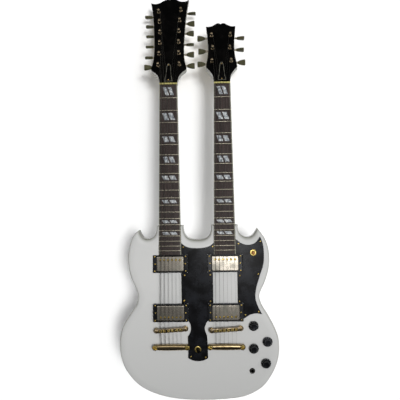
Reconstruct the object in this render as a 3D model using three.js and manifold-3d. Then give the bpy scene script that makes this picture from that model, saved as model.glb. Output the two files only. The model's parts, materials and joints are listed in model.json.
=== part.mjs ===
// A solid-body electric guitar with two necks, twelve strings on the left one and six on the right.
// The shapes are drawn in the plane of the body's face: x to the viewer's right, y up the necks and
// z out of the face, with the origin on the flat back, midway between the necks, on the line of the
// saddles. The group at the end turns all of it upright, so that +Z runs up the necks.
import * as THREE from "three";
import Module from "manifold-3d";
import { mergeVertices } from "three/addons/utils/BufferGeometryUtils.js";

const wasm = await Module();
wasm.setup();

// Driving dimensions, in millimetres. Names that end in share or shares are parts of these sizes.
const turn = 2 * Math.PI;
const degree = turn / 360;
const seatGap = 0.3;
const overrun = 1;

const scaleLength = 628.65;
const fretCount = 20;
const neckSpacing = 139.7;
const neckPitch = 3 * degree;
const headAngle = 17 * degree;

const bodyThickness = 42;
const bodyWidth = 408;
const bodyLength = 440;
const saddleLineShare = 0.42182;
const bodyBelowSaddles = bodyLength * saddleLineShare;
const edgeRound = 4.5;
const shoulderAboveTips = 7.6;
const shoulderHeight = bodyLength - bodyBelowSaddles + shoulderAboveTips;
const shoulderHalfWidth = 34;
const hornCutDepth = 32.5;
const middleCutDepth = 37.3;
const cutBevelWidth = 13;
const cutBevelDepth = 3.2;

const boardThickness = 5.5;
const boardRise = 5;
const boardOverhang = 9;
const boardRadius = 305;
const fretHeight = 1.1;
const fretWidth = 2.4;
const fretCrown = 1.5;
const fretSunk = 0.6;
const fretInset = 0.2;

const neckDepthAtNut = 15;
const neckDepthAtBody = 17.5;
const tenonDepth = 25;
const heelLength = 26;
const shaftMiddleShare = 0.55;
const nutThickness = 4.8;
const nutRise = 2.5;
const stringAtNut = 0.5;
const actionAtMiddle = 1.6;
const nutDip = 0.1;
const headThickness = 15;
const headplateRise = 2;
const volute = 2.5;
const voluteLength = 14;
const trussCoverThickness = 2;
const trussCoverLength = 57;
const plateEdge = 0.3;

const postRadius = 3.1;
const postWaist = 2.4;
const postHeight = 12;
const postWaistStart = 2.9;
const postWaistEnd = 9.6;
const postHoleHeight = 8.2;
const bushingRadius = 5;
const bushingHeight = 1.5;
const stringLoopGap = 0.5;
const windSteps = 8;
const stringSides = 4;
const holeBend = 1.1;
const holeRoom = 0.7;
const stringEnd = 0.4;
const wormOffset = 10;
const plateThickness = 1;
const plateWidth = 14;
const plateEnd = 8;
const housingLength = 25;
const housingWidth = 15;
const housingHeight = 9;
const housingRound = 1.2;
const keyDepth = 6;
const keyShaftRadius = 2;
const keyCollarRadius = 3.4;
const keyCollarLength = 3;
const buttonLength = 21;
const buttonWidth = 16;
const buttonThickness = 7.6;

const guardThickness = 2.3;
const guardAboveRing = 43.8;
const guardLow = 33;
const guardInner = 27.6;
const guardEdge = 14.5;
const middleGuardAboveRing = 31.3;
const middleGuardLow = -84;
const ringLength = 89;
const ringWidth = 45;
const ringRound = 2;
const coverLength = 68.6;
const coverWidth = 37.4;
const coverRound = 1.6;
const coverDepth = 17;
const coverGap = 0.5;
const poleRadius = 2.5;
const poleRise = 0.7;
const poleSpread = 50.2;
const poleOffset = 10.2;
const neckPickupBelowBoard = 24.55;
const bridgePickupCentre = 40.6;
const pickupToString = 3;
const earLength = 82;
const earWidth = 14;
const earThickness = 1.5;
const heightScrewRadius = 1.5;
const heightScrewSpread = 77;
const heightScrewTail = 3;
const ringBelowCover = 2.6;

const bridgeLength = 83.5;
const bridgeWidth = 11;
const bridgeHeight = 6.5;
const bridgePostSpread = 74;
const bridgePostRadius = 3;
const bridgeSlant = 3.6 * degree;
const bridgeDrop = 2;
const bridgeRound = 1.2;
const thumbwheelRadius = 7.2;
const thumbwheelHeight = 2.2;
const saddleLength = 6.4;
const saddleWidth = 7.6;
const saddleRise = 3.4;
const saddleCrest = 0.6;
const tailLength = 97.5;
const tailWidth = 15.5;
const tailHeight = 10.5;
const tailCentre = -46.6;
const tailLift = 4;
const tailRound = 3.4;
const tailBelly = 0.9;
const studSpread = 82;
const studRadius = 5.6;
const studShank = 3.8;
const studDepth = 20;
const studFlange = 1.1;
const studCap = 0.8;
const studSlot = 1.6;

const knobRadius = 12.6;
const knobTopRadius = 8.6;
const knobSkirt = 3.2;
const knobHeight = 13;
const knobLift = 1.4;
const knobCellRadius = 9.5;
const knobCellDepth = 4;
const knobShaftRadius = 3;
const potRadius = 12;
const potHeight = 10;
const potBushRadius = 4.7;
const potNutRadius = 7.4;
const potNutHeight = 2.2;
const potTag = 4;
const cavityTop = 6;
const cavityWall = 9;
const cavityLip = 3.5;
const coverPlate = 2;
const knobAngle = 150 * degree;

const jackBore = 3.3;
const jackBarrel = 4.8;
const jackNutRadius = 7.2;
const jackNutHeight = 2.6;
const jackDepth = 24;
const jackFlange = 1.6;
const jackStrip = 2;
const jackStripAt = 5.4;

const switchRingRadius = 8.8;
const switchRingHeight = 3.4;
const switchBore = 4.6;
const switchBushRadius = 6;
const switchFrameLength = 30;
const switchFrameWidth = 13;
const switchFrameDepth = 22;
const switchLean = 13 * degree;
const leverRadius = 1.9;
const leverLength = 15.6;
const pivotBall = 4.45;
const pivotRise = 2.4;
const tipRadius = 4.3;
const tipLength = 10.5;
const strapRadius = 7;
const strapHeight = 13;
const strapScrewRadius = 2;
const strapScrewLength = 18;

const thickString12 = 1.19;
const nutWidth12 = 46.5;
const endWidth12 = 57.5;
const nutSpan12 = 37.4;
const pairGapNut = 2.1;
const pairGapSaddle = 2.5;
const headLength12 = 275.3;
const headHalfWidth12 = 53;
const firstPost12 = 55.5;
const postPitch12 = 35.4;
const postRow12 = 26;
const buttonStart12 = 19.2;
const trussCoverBottom12 = 3.2;
const trussCoverWidth12 = 21.4;

const thickString6 = 1.17;
const nutWidth6 = 43;
const endWidth6 = 56;
const nutSpan6 = 36;
const headLength6 = 189;
const headHalfWidth6 = 41.4;
const firstPost6 = 63.4;
const postPitch6 = 41.6;
const postRow6 = 24.4;
const buttonStart6 = 18.2;
const trussCoverBottom6 = 4.6;
const trussCoverWidth6 = 21.5;
const saddleSpan = 51.6;

// Each neck has its own strings, width and head. The head's outline is given as shares of its
// greatest half width and of its length, from the nut to its tip, on one side.
const gaugeShares12 = [0.58, 1, 0.387, 0.832, 0.269, 0.639, 0.252, 0.487, 0.303, 0.303, 0.252, 0.252];
const gaugeShares6 = [1, 0.778, 0.564, 0.368, 0.282, 0.256];
const necks = [
  {
    name: "12",
    side: -1,
    gauges: gaugeShares12.map((share) => share * thickString12),
    paired: 2,
    nutWidth: nutWidth12,
    endWidth: endWidth12,
    nutSpan: nutSpan12,
    headLength: headLength12,
    headSkewShare: 0.08,
    headHalfWidth: headHalfWidth12,
    headSideShares: [[0.445, 0.012], [0.475, 0.05], [0.55, 0.088], [0.69, 0.12], [0.85, 0.147]],
    headEdgeShares: [[0.885, 0.163], [0.855, 0.19], [0.785, 0.262], [0.755, 0.345], [0.758, 0.445],
      [0.783, 0.567], [0.82, 0.69], [0.87, 0.8], [0.94, 0.9], [1, 0.973]],
    headTopShares: [[0.82, 0.957], [0.66, 0.957], [0.5, 0.968], [0.36, 0.985], [0.22, 0.998],
      [0.1, 1], [0, 0.994]],
    firstPost: firstPost12,
    postPitch: postPitch12,
    postRow: postRow12,
    postRowShares: [1.075, 1.008, 0.98, 0.988, 1.06, 1.18],
    keyRiseShares: [[0.9, 0.52, 0.55, 0.46, 0.3, 0.1], [1, 1.1, 0.8, 0.95, 0.7, 0.63]],
    buttonStart: buttonStart12,
    stringTurns: 1.5,
    trussCover: { bottom: trussCoverBottom12, width: trussCoverWidth12 },
    keyTurns: [[-10, 45, 50, 64, 70, 72], [15, 25, 112, 18, 25, 108]],
  },
  {
    name: "6",
    side: 1,
    gauges: gaugeShares6.map((share) => share * thickString6),
    paired: 1,
    nutWidth: nutWidth6,
    endWidth: endWidth6,
    nutSpan: nutSpan6,
    headLength: headLength6,
    headSkewShare: 0,
    headHalfWidth: headHalfWidth6,
    headSideShares: [[0.515, 0.012], [0.535, 0.06], [0.585, 0.115], [0.7, 0.165], [0.83, 0.205]],
    headEdgeShares: [[0.995, 0.25], [0.965, 0.31], [0.9, 0.39], [0.86, 0.48], [0.845, 0.57],
      [0.858, 0.65], [0.89, 0.75], [0.93, 0.85], [0.97, 0.942]],
    headTopShares: [[0.86, 0.938], [0.7, 0.94], [0.54, 0.953], [0.4, 0.972], [0.27, 0.992],
      [0.16, 1], [0.06, 0.99], [0, 0.98]],
    firstPost: firstPost6,
    postPitch: postPitch6,
    postRow: postRow6,
    postRowShares: [1.03, 0.935, 1.03],
    keyRiseShares: [[0.7, 0.66, 0.8], [1, 0.95, 0.63]],
    buttonStart: buttonStart6,
    stringTurns: 2,
    trussCover: { bottom: trussCoverBottom6, width: trussCoverWidth6 },
    keyTurns: [[-15, -22, -25], [22, 92, 97]],
  },
];

const boardLength = fretDistance(fretCount) + boardOverhang;
const boardEndY = (scaleLength - boardLength) * Math.cos(neckPitch);
const face = bodyThickness;
const neckPickupCentre = boardEndY - neckPickupBelowBoard;
const guardTop = neckPickupCentre + ringWidth / 2 + guardAboveRing;
const middleGuardTop = neckPickupCentre + ringWidth / 2 + middleGuardAboveRing;

function fretDistance(number) {
  return scaleLength * (1 - 2 ** (-number / 12));
}

// Solids from three.js geometry, and geometry back from solids.
function solid(geometry) {
  const bare = geometry.clone();
  bare.deleteAttribute("normal");
  bare.deleteAttribute("uv");
  const merged = mergeVertices(bare, 1e-4);
  const triVerts = new Uint32Array(merged.index.array);
  if (signedVolume(merged) < 0) {
    for (let i = 0; i < triVerts.length; i += 3) {
      [triVerts[i], triVerts[i + 1]] = [triVerts[i + 1], triVerts[i]];
    }
  }
  const vertProperties = merged.attributes.position.array;
  return new wasm.Manifold(new wasm.Mesh({ numProp: 3, vertProperties, triVerts }));
}

function signedVolume(geometry) {
  const { position } = geometry.attributes;
  const a = new THREE.Vector3();
  const b = new THREE.Vector3();
  const c = new THREE.Vector3();
  let total = 0;
  for (let i = 0; i < geometry.index.count; i += 3) {
    a.fromBufferAttribute(position, geometry.index.getX(i));
    b.fromBufferAttribute(position, geometry.index.getX(i + 1));
    c.fromBufferAttribute(position, geometry.index.getX(i + 2));
    total += a.dot(b.cross(c));
  }
  return total;
}

function geometryOf(body) {
  const mesh = body.getMesh();
  const geometry = new THREE.BufferGeometry();
  const positions = new Float32Array(mesh.vertProperties);
  geometry.setAttribute("position", new THREE.BufferAttribute(positions, 3));
  geometry.setIndex(new THREE.BufferAttribute(new Uint32Array(mesh.triVerts), 1));
  geometry.computeVertexNormals();
  return geometry;
}

function join(first, ...others) {
  return others.reduce((sum, other) => sum.add(other), first);
}

function cut(first, ...others) {
  return others.reduce((rest, other) => rest.subtract(other), first);
}

function placed(geometry, matrix) {
  return solid(geometry.clone().applyMatrix4(matrix));
}

// Plain forms. A block and a drum stand on z = 0 at the place given.
function block(width, length, height, x = 0, y = 0, z = 0) {
  return solid(new THREE.BoxGeometry(width, length, height).translate(x, y, z + height / 2));
}

function drum(radius, height, x = 0, y = 0, z = 0, sides = 12, top = radius) {
  const shape = new THREE.CylinderGeometry(top, radius, height, sides);
  return solid(shape.rotateX(turn / 4).translate(x, y, z + height / 2));
}

function lathe(profile, sides, x = 0, y = 0, z = 0) {
  const points = profile.map(([radius, height]) => new THREE.Vector2(radius, height));
  return solid(new THREE.LatheGeometry(points, sides).rotateX(turn / 4).translate(x, y, z));
}

function slab(points, thickness, round = 0, segments = 2, holes = []) {
  const shape = new THREE.Shape(points.map(([x, y]) => new THREE.Vector2(x, y)));
  for (const hole of holes) {
    shape.holes.push(new THREE.Path(hole.map(([x, y]) => new THREE.Vector2(x, y))));
  }
  const geometry = new THREE.ExtrudeGeometry(shape, {
    depth: thickness - 2 * round,
    steps: 1,
    bevelEnabled: round > 0,
    bevelSize: round,
    bevelThickness: round,
    bevelOffset: -round,
    bevelSegments: segments,
  });
  return geometry.translate(0, 0, round);
}

// A closed solid through rings of the same number of points, with flat ends.
function loft(rings) {
  const count = rings[0].length;
  const corners = rings.flat().flatMap(([x, y, z]) => [x, y, z]);
  const index = [];
  for (let ring = 0; ring + 1 < rings.length; ring += 1) {
    for (let i = 0; i < count; i += 1) {
      const here = ring * count + i;
      const next = ring * count + ((i + 1) % count);
      index.push(here, next, next + count, here, next + count, here + count);
    }
  }
  const last = (rings.length - 1) * count;
  for (let i = 1; i + 1 < count; i += 1) {
    index.push(0, i + 1, i, last, last + i, last + i + 1);
  }
  const geometry = new THREE.BufferGeometry();
  geometry.setAttribute("position", new THREE.Float32BufferAttribute(corners, 3));
  geometry.setIndex(index);
  return geometry;
}

// A tube through points, carried along without twist.
function tube(points, radius, sides) {
  const rings = [];
  const tangent = new THREE.Vector3();
  let normal = null;
  points.forEach((point, i) => {
    const before = points[Math.max(i - 1, 0)];
    const after = points[Math.min(i + 1, points.length - 1)];
    const back = new THREE.Vector3().subVectors(point, before).normalize();
    const ahead = new THREE.Vector3().subVectors(after, point).normalize();
    tangent.addVectors(back, ahead).normalize();
    normal ??= new THREE.Vector3(1, 0, 0);
    normal.addScaledVector(tangent, -normal.dot(tangent)).normalize();
    const binormal = new THREE.Vector3().crossVectors(tangent, normal);
    const ring = [];
    for (let k = 0; k < sides; k += 1) {
      const angle = (turn * k) / sides;
      const place = point.clone();
      place.addScaledVector(normal, radius * Math.cos(angle));
      place.addScaledVector(binormal, radius * Math.sin(angle));
      ring.push([place.x, place.y, place.z]);
    }
    rings.push(ring);
    normal = normal.clone();
  });
  return loft(rings);
}

// A smooth run of points through a few chosen ones.
function smooth(points, steps) {
  const through = points.map(([x, y]) => new THREE.Vector3(x, y, 0));
  const curve = new THREE.CatmullRomCurve3(through, false, "centripetal");
  return curve.getPoints(steps).map((point) => [point.x, point.y]);
}

function mirrored(points) {
  return points.map(([x, y]) => [-x, y]).reverse();
}

function capsule(length, width, perEnd = 6) {
  const points = [];
  for (const end of [1, -1]) {
    for (let i = 0; i <= perEnd; i += 1) {
      const angle = (turn / 2) * (i / perEnd) - turn / 4;
      points.push([end * ((length - width) / 2 + (width / 2) * Math.cos(angle)),
        end * (width / 2) * Math.sin(angle)]);
    }
  }
  return points;
}

function roundedBox(length, width, radius, perCorner = 2) {
  const points = [];
  const corners = [[1, 1], [-1, 1], [-1, -1], [1, -1]];
  corners.forEach(([sx, sy], corner) => {
    for (let i = 0; i <= perCorner; i += 1) {
      const angle = (turn / 4) * (corner + i / perCorner);
      points.push([sx * (length / 2 - radius) + radius * Math.cos(angle),
        sy * (width / 2 - radius) + radius * Math.sin(angle)]);
    }
  });
  return points;
}

function rectangle(length, width) {
  return [[1, 1], [-1, 1], [-1, -1], [1, -1]].map(([x, y]) => [(x * length) / 2, (y * width) / 2]);
}

// Where each neck and each head lies. A neck's own frame has its origin at the nut, on top of the
// board, and a head's own frame has its origin where the headplate starts, on its face.
function neckMatrix(neck) {
  const rise = face + boardRise - boardLength * Math.sin(neckPitch);
  const height = boardEndY + boardLength * Math.cos(neckPitch);
  const matrix = new THREE.Matrix4().makeRotationX(-neckPitch);
  return matrix.setPosition((neck.side * neckSpacing) / 2, height, rise);
}

const headPlace = new THREE.Vector3(0, nutThickness, headplateRise - boardThickness);

function headMatrix(neck) {
  const local = new THREE.Matrix4().makeRotationX(-headAngle).setPosition(headPlace);
  return neckMatrix(neck).multiply(local);
}

const shoulderOnNeck = (shoulderHeight - boardEndY) / Math.cos(neckPitch) - boardLength;

function boardHalfWidth(neck, y) {
  return (neck.nutWidth + ((neck.endWidth - neck.nutWidth) * -y) / boardLength) / 2;
}

// Body outline, as shares of the body's half width and of its length above its lowest edge.
const bassSideShares = [[-0.712, 1], [-0.782, 0.9715], [-0.841, 0.9225], [-0.875, 0.856],
  [-0.88, 0.821], [-0.865, 0.752], [-0.8245, 0.6935], [-0.776, 0.6435], [-0.7595, 0.6],
  [-0.773, 0.565], [-0.845, 0.512], [-0.9305, 0.453], [-0.984, 0.388], [-0.9965, 0.3165],
  [-0.98, 0.245], [-0.9165, 0.173], [-0.7905, 0.101], [-0.628, 0.0525], [-0.376, 0.0155],
  [-0.123, 0.002], [0.07, 0]];
const trebleSideShares = [[0.07, 0], [0.28, 0.0035], [0.507, 0.0145], [0.659, 0.0375],
  [0.804, 0.0815], [0.911, 0.1495], [0.9745, 0.2145], [1.003, 0.286], [0.992, 0.3625],
  [0.94, 0.4275], [0.8655, 0.4925], [0.792, 0.551], [0.766, 0.598], [0.7755, 0.621],
  [0.833, 0.679], [0.884, 0.7535], [0.8985, 0.822], [0.882, 0.8855], [0.84, 0.938],
  [0.7795, 0.9785], [0.7515, 0.996]];
// A horn's cutaway, down from the shoulder and up to the horn's tip, and the dip between the necks.
const hornCutShares = [[0, 0.756], [0.05, 0.45], [0.15, 0.204], [0.31, 0.046], [0.5, 0]];
const hornTipShares = [[0.68, 0.08], [0.82, 0.333], [0.91, 0.667], [1, 1]];
const middleCutShares = [[0, 0.78], [0.03, 0.45], [0.1, 0.22], [0.21, 0.075], [0.38, 0.005],
  [0.5, 0], [0.62, 0.005], [0.79, 0.075], [0.9, 0.22], [0.97, 0.45], [1, 0.78]];
const bevelShares = [0, 0.25, 0.6, 0.9, 1, 1, 0.9, 0.7, 0.4];

function bodyPoint([across, up]) {
  return [(across * bodyWidth) / 2, up * bodyLength - bodyBelowSaddles];
}

function shoulderSide(side, inner) {
  const neckX = (side * neckSpacing) / 2;
  return neckX + (inner ? -side : side) * shoulderHalfWidth;
}

function hornCut(side) {
  const tip = bodyPoint(side < 0 ? bassSideShares[0] : trebleSideShares.at(-1));
  const start = shoulderSide(side, false);
  const bottom = shoulderHeight - hornCutDepth;
  const place = (shares, top) => shares.map(([across, up]) => [
    start + (tip[0] - start) * across,
    bottom + (top - bottom) * up,
  ]);
  return smooth([...place(hornCutShares, shoulderHeight), ...place(hornTipShares, tip[1])], 10);
}

function middleCut() {
  const left = shoulderSide(-1, true);
  const right = shoulderSide(1, true);
  const points = middleCutShares.map(([across, up]) => [
    left + (right - left) * across,
    shoulderHeight + (up - 1) * middleCutDepth,
  ]);
  return smooth(points, 13);
}

function shoulder(side) {
  return [[shoulderSide(side, false), shoulderHeight], [shoulderSide(side, true), shoulderHeight]];
}

// The rounded edge needs room at a horn's tip, so no other point lies close to it.
function bodyOutline() {
  const bass = smooth(bassSideShares.map(bodyPoint), 31);
  const treble = smooth(trebleSideShares.map(bodyPoint), 30);
  const tips = [bass[0], treble.at(-1)];
  const far = ([x, y]) => tips.every(([tx, ty]) => Math.hypot(x - tx, y - ty) > 2 * edgeRound);
  return [
    tips[0],
    ...bass.slice(1, -1).filter(far),
    ...treble.slice(0, -1).filter(far),
    tips[1],
    ...hornCut(1).toReversed().filter(far),
    ...shoulder(1),
    ...middleCut().toReversed(),
    ...shoulder(-1).toReversed(),
    ...hornCut(-1).filter(far),
  ];
}

// The slope that runs down into a cutaway, deepest at its bottom and fading towards its ends. The
// hand says on which side of the run of points the wood lies.
function cutBevel(points, fades, hand) {
  const low = [];
  const high = [];
  const slope = cutBevelWidth / cutBevelDepth;
  points.forEach(([x, y], i) => {
    const [ax, ay] = points[Math.max(i - 1, 0)];
    const [bx, by] = points[Math.min(i + 1, points.length - 1)];
    const length = Math.hypot(bx - ax, by - ay);
    const nx = (hand * (by - ay)) / length;
    const ny = (-hand * (bx - ax)) / length;
    const spot = (i / (points.length - 1)) * (fades.length - 1);
    const lower = Math.min(Math.floor(spot), fades.length - 2);
    const share = fades[lower] + (fades[lower + 1] - fades[lower]) * (spot - lower);
    const reach = cutBevelWidth * share + slope * overrun;
    low.push([x - nx * slope * overrun, y - ny * slope * overrun,
      face - cutBevelDepth * share - overrun]);
    high.push([x + nx * reach, y + ny * reach, face + overrun]);
  });
  const above = Math.max(shoulderHeight, ...points.map(([, y]) => y)) + cutBevelWidth;
  const close = (row, z) => [...row, [row.at(-1)[0], above, z], [row[0][0], above, z]];
  return solid(loft([close(low, face - cutBevelDepth - overrun), close(high, face + overrun)]));
}

const eachNeck = (make) => necks.map(make);
const neckX = (neck) => (neck.side * neckSpacing) / 2;

// The board's plan, grown by a margin, as a tapered slab in the neck's frame.
function taper(neck, from, to, margin, low, high) {
  const plan = [
    [-boardHalfWidth(neck, from) - margin, from + margin],
    [-boardHalfWidth(neck, to) - margin, to - margin],
    [boardHalfWidth(neck, to) + margin, to - margin],
    [boardHalfWidth(neck, from) + margin, from + margin],
  ];
  return slab(plan, high - low).translate(0, 0, low);
}

const tenonLow = -boardThickness - tenonDepth;

function neckPocket(neck) {
  const pocket = taper(neck, shoulderOnNeck + edgeRound, -boardLength, seatGap,
    tenonLow - seatGap, boardThickness);
  return placed(pocket, neckMatrix(neck));
}

// Electrics: where each piece stands on the face. The pots and the jack have shares of the room from
// the tailpiece to the body's side and of the body's length, and the switches have shares of their
// guard.
const potShares = {
  volume_upper: [0.2506, 0.4318],
  tone_upper: [0.6546, 0.34],
  volume_lower: [0.2447, 0.3014],
  tone_lower: [0.6019, 0.2161],
};
const jackShares = [0.192, 0.173];
const neckSwitchShares = [-0.0596, 0.101];
const pickupSwitchShares = [0.6175, 0.7965];
const strapShares = [0, 0.8673];

function controlPoint([across, up]) {
  const inner = (neckSpacing + tailLength) / 2;
  return [inner + (bodyWidth / 2 - inner) * across, bodyPoint([0, up])[1]];
}

const standing = (name, [x, y]) => ({ name, x, y });
const pots = Object.entries(potShares).map(([name, shares]) => standing(name, controlPoint(shares)));
const jack = standing("output_jack", controlPoint(jackShares));
const strapPlace = standing("strap_button", bodyPoint(strapShares));
const switches = [
  { ...standing("neck", middleGuardPoint(neckSwitchShares)), lean: -45 * degree, tilt: switchLean },
  { ...standing("pickup", trebleGuardPoint(pickupSwitchShares)), lean: 45 * degree, tilt: 0 },
];
const pickups = [
  { name: "neck", y: neckPickupCentre, poles: poleOffset },
  { name: "bridge", y: bridgePickupCentre, poles: -poleOffset },
];

// The cavity behind the controls, as a smooth outline round the pots and the jack.
function controlOutline(margin) {
  const reach = potRadius + cavityWall + margin;
  const left = Math.min(...pots.map((pot) => pot.x), jack.x) - reach;
  const right = Math.max(...pots.map((pot) => pot.x)) + potRadius + cavityLip + margin;
  const top = Math.max(...pots.map((pot) => pot.y)) + reach;
  const bottom = Math.min(...pots.map((pot) => pot.y), jack.y) - reach + cavityWall / 2;
  const width = right - left;
  const height = top - bottom;
  return smooth(cavityShares.map(([across, up]) => [left + width * across, bottom + height * up]),
    22).slice(0, -1);
}

const cavityShares = [[0.5, 0.985], [0.2, 0.97], [0.03, 0.85], [0, 0.6], [0.02, 0.3], [0.08, 0.06],
  [0.3, 0], [0.55, 0.02], [0.87, 0.115], [0.99, 0.3], [1, 0.55], [0.93, 0.8], [0.78, 0.95], [0.5, 0.985]];

function saddleHeight() {
  const stringRise = nutStringRise + 2 * actionAtMiddle;
  const point = new THREE.Vector3(0, -scaleLength, stringRise);
  return point.applyMatrix4(neckMatrix(necks[0])).z;
}

const nutStringRise = fretHeight + stringAtNut;

// Height of the strings over the face at a place between the saddles and the board.
function stringHeight(y) {
  const nutPoint = new THREE.Vector3(0, 0, nutStringRise).applyMatrix4(neckMatrix(necks[0]));
  const saddle = saddleHeight();
  return saddle + ((nutPoint.z - saddle) * y) / nutPoint.y;
}

function coverTop(pickup) {
  return stringHeight(pickup.y + Math.abs(pickup.poles)) - pickupToString - poleRise;
}

function bodySolid() {
  const outline = bodyOutline();
  let body = solid(slab(outline, bodyThickness, edgeRound, 2));
  body = cut(body, cutBevel(hornCut(1), bevelShares, 1), cutBevel(hornCut(-1), bevelShares, -1),
    cutBevel(middleCut(), middleBevelShares, 1));
  for (const neck of necks) {
    body = cut(body, neckPocket(neck));
    for (const pickup of pickups) {
      const depth = face - coverTop(pickup) + coverDepth + earThickness + overrun;
      const earDepth = depth + heightScrewTail;
      const room = coverGap + seatGap;
      const x = neckX(neck);
      body = cut(body,
        block(coverLength + 2 * room, coverWidth + 2 * room, depth + overrun, x, pickup.y, face - depth),
        block(earLength + 2 * room, earWidth + 2 * room, earDepth + overrun, x, pickup.y,
          face - earDepth));
    }
    for (const end of [-1, 1]) {
      const post = bridgeEnd(neck, end);
      body = cut(body,
        drum(bridgePostRadius + seatGap, studDepth + overrun, post.x, post.y, face - studDepth, 10),
        drum(studShank + seatGap, studDepth + overrun, neckX(neck) + (end * studSpread) / 2,
          tailCentre, face - studDepth, 10));
    }
  }
  const hollow = bodyThickness - cavityTop;
  body = cut(body,
    solid(slab(controlOutline(0), hollow + overrun).translate(0, 0, -overrun)),
    solid(slab(controlOutline(cavityLip), coverPlate + seatGap + overrun)
      .translate(0, 0, -overrun)));
  for (const pot of pots) {
    body = cut(body, drum(potBushRadius + seatGap, face, pot.x, pot.y, hollow - overrun, 8));
  }
  body = cut(body, drum(jackBarrel + seatGap, face, jack.x, jack.y, hollow - overrun, 12));
  for (const item of switches) {
    const room = 2 * (seatGap + overrun);
    body = cut(body, block(switchFrameLength + room, switchFrameWidth + room,
      switchFrameDepth + 3 * overrun, item.x, item.y, face - switchFrameDepth - 2 * overrun));
  }
  return cut(body, drum(strapScrewRadius + seatGap, strapScrewLength + overrun, strapPlace.x,
    strapPlace.y, -overrun, 8));
}

const middleBevelShares = [0, 0, 0.35, 0.8, 1, 1, 1, 0.8, 0.35, 0, 0];

// The board with its frets: a taper with a crowned top, and a fret at each place of the scale.
const crownShares = [-1, -0.36, 0.36, 1];

function crown(x) {
  return Math.sqrt(boardRadius ** 2 - x ** 2) - boardRadius;
}

function boardSolid(neck) {
  const ring = (y) => {
    const half = boardHalfWidth(neck, y);
    const top = crownShares.map((share) => [half * share, y, crown(half * share)]);
    return [[-half, y, -boardThickness], ...top, [half, y, -boardThickness]];
  };
  let board = solid(loft([ring(0), ring(-boardLength)]));
  for (let number = 1; number <= fretCount; number += 1) {
    const y = -fretDistance(number);
    const section = (share) => [
      [-fretWidth / 2, -fretSunk], [fretWidth / 2, -fretSunk],
      [fretCrown / 2, fretHeight], [-fretCrown / 2, fretHeight],
    ].map(([along, up]) => {
      const x = boardHalfWidth(neck, y + along) * share;
      const inset = fretInset + Math.max(0, up / 2);
      return [x - Math.sign(share) * Math.floor(Math.abs(share)) * inset, y + along, crown(x) + up];
    });
    board = join(board, solid(loft(crownShares.map(section))));
  }
  return board;
}

// Half of the head's outline, from the nut to the tip.
function headOutline(neck) {
  const scaled = (shares) => shares.map(([across, up]) => [
    across * neck.headHalfWidth,
    up * neck.headLength,
  ]);
  const side = smooth(scaled(neck.headSideShares), 5);
  const edge = smooth(scaled(neck.headEdgeShares), 11);
  const top = smooth(scaled(neck.headTopShares), 9);
  const half = [[side[0][0], 0], ...side, ...edge, ...top];
  const skew = ([x, y]) => [x, y + (neck.headSkewShare * x * y) / neck.headLength];
  return [...half, ...mirrored(half.slice(0, -1))].map(skew);
}

// The back of the neck: a rounded section that deepens towards the body and at the head.
const shaftShares = [0, 0.16, 0.32, 0.5, 0.68, 0.84, 1];

function shaftRing(half, depth, y, top) {
  const points = shaftShares.map((share) => {
    const angle = (turn / 2) * share;
    const across = Math.sign(Math.cos(angle)) * Math.abs(Math.cos(angle)) ** 0.8;
    return [half * across, y, top - depth * Math.sin(angle) ** 0.75];
  });
  return points;
}

const heelShares = [0, 0.35, 0.7, 1];

function neckSolid(neck) {
  const rings = [];
  const place = (y, depth) => rings.push(shaftRing(boardHalfWidth(neck, y), depth, y,
    -boardThickness));
  const heelStart = shoulderOnNeck + heelLength;
  for (const share of heelShares.toReversed()) {
    const rise = 1 - Math.sqrt(1 - share ** 2 * 0.98);
    place(heelStart - heelLength * share - (share === 1 ? edgeRound : 0),
      neckDepthAtBody + (tenonDepth - neckDepthAtBody - seatGap) * rise);
  }
  place(heelStart * shaftMiddleShare, (neckDepthAtNut + neckDepthAtBody) / 2);
  place(-nutThickness, neckDepthAtNut);
  place(nutThickness / 2, neckDepthAtNut + headplateRise);
  const toNeck = new THREE.Matrix4().makeRotationX(-headAngle).setPosition(headPlace);
  const inHead = (half, depth, y) => shaftRing(half, depth, y, 0).map(([x, py, z]) => {
    const point = new THREE.Vector3(x, py, z).applyMatrix4(toNeck);
    return [point.x, point.y, point.z];
  });
  const headStart = neck.nutWidth / 2;
  rings.push(inHead(headStart, headThickness + volute, voluteLength));
  rings.push(inHead(headStart, headThickness - overrun, voluteLength * 2.4));
  const tenon = taper(neck, shoulderOnNeck, -boardLength + seatGap, 0, tenonLow, -boardThickness);
  const shaft = join(solid(loft(rings)), solid(tenon));
  const plate = slab(headOutline(neck), headThickness).translate(0, 0, -headThickness);
  const nutRoom = block(2 * neck.nutWidth, nutThickness + 2 * seatGap, 2 * headThickness,
    0, nutThickness / 2, -boardThickness - seatGap);
  const boardRoom = solid(taper(neck, 0, -boardLength, seatGap, -boardThickness, boardThickness));
  let whole = cut(join(shaft, placed(plate, toNeck)), nutRoom, boardRoom);
  for (const post of postPlaces(neck)) {
    const hole = new THREE.CylinderGeometry(postRadius + seatGap, postRadius + seatGap,
      3 * headThickness, 6).rotateX(turn / 4).translate(post.x, post.y, -headThickness);
    whole = cut(whole, placed(hole, toNeck));
  }
  return whole;
}

// Where the strings lie at the nut and at the saddles, counted from the bass side.
function stringPlaces(neck) {
  const courses = neck.gauges.length / neck.paired;
  const places = [];
  for (let course = 0; course < courses; course += 1) {
    const share = course / (courses - 1) - 1 / 2;
    for (let one = 0; one < neck.paired; one += 1) {
      const offset = neck.paired === 1 ? 0 : one - 1 / 2;
      places.push({
        course,
        radius: neck.gauges[course * neck.paired + one] / 2,
        nutX: share * neck.nutSpan + offset * pairGapNut,
        saddleX: share * saddleSpan + offset * pairGapSaddle,
      });
    }
  }
  return places;
}

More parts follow.
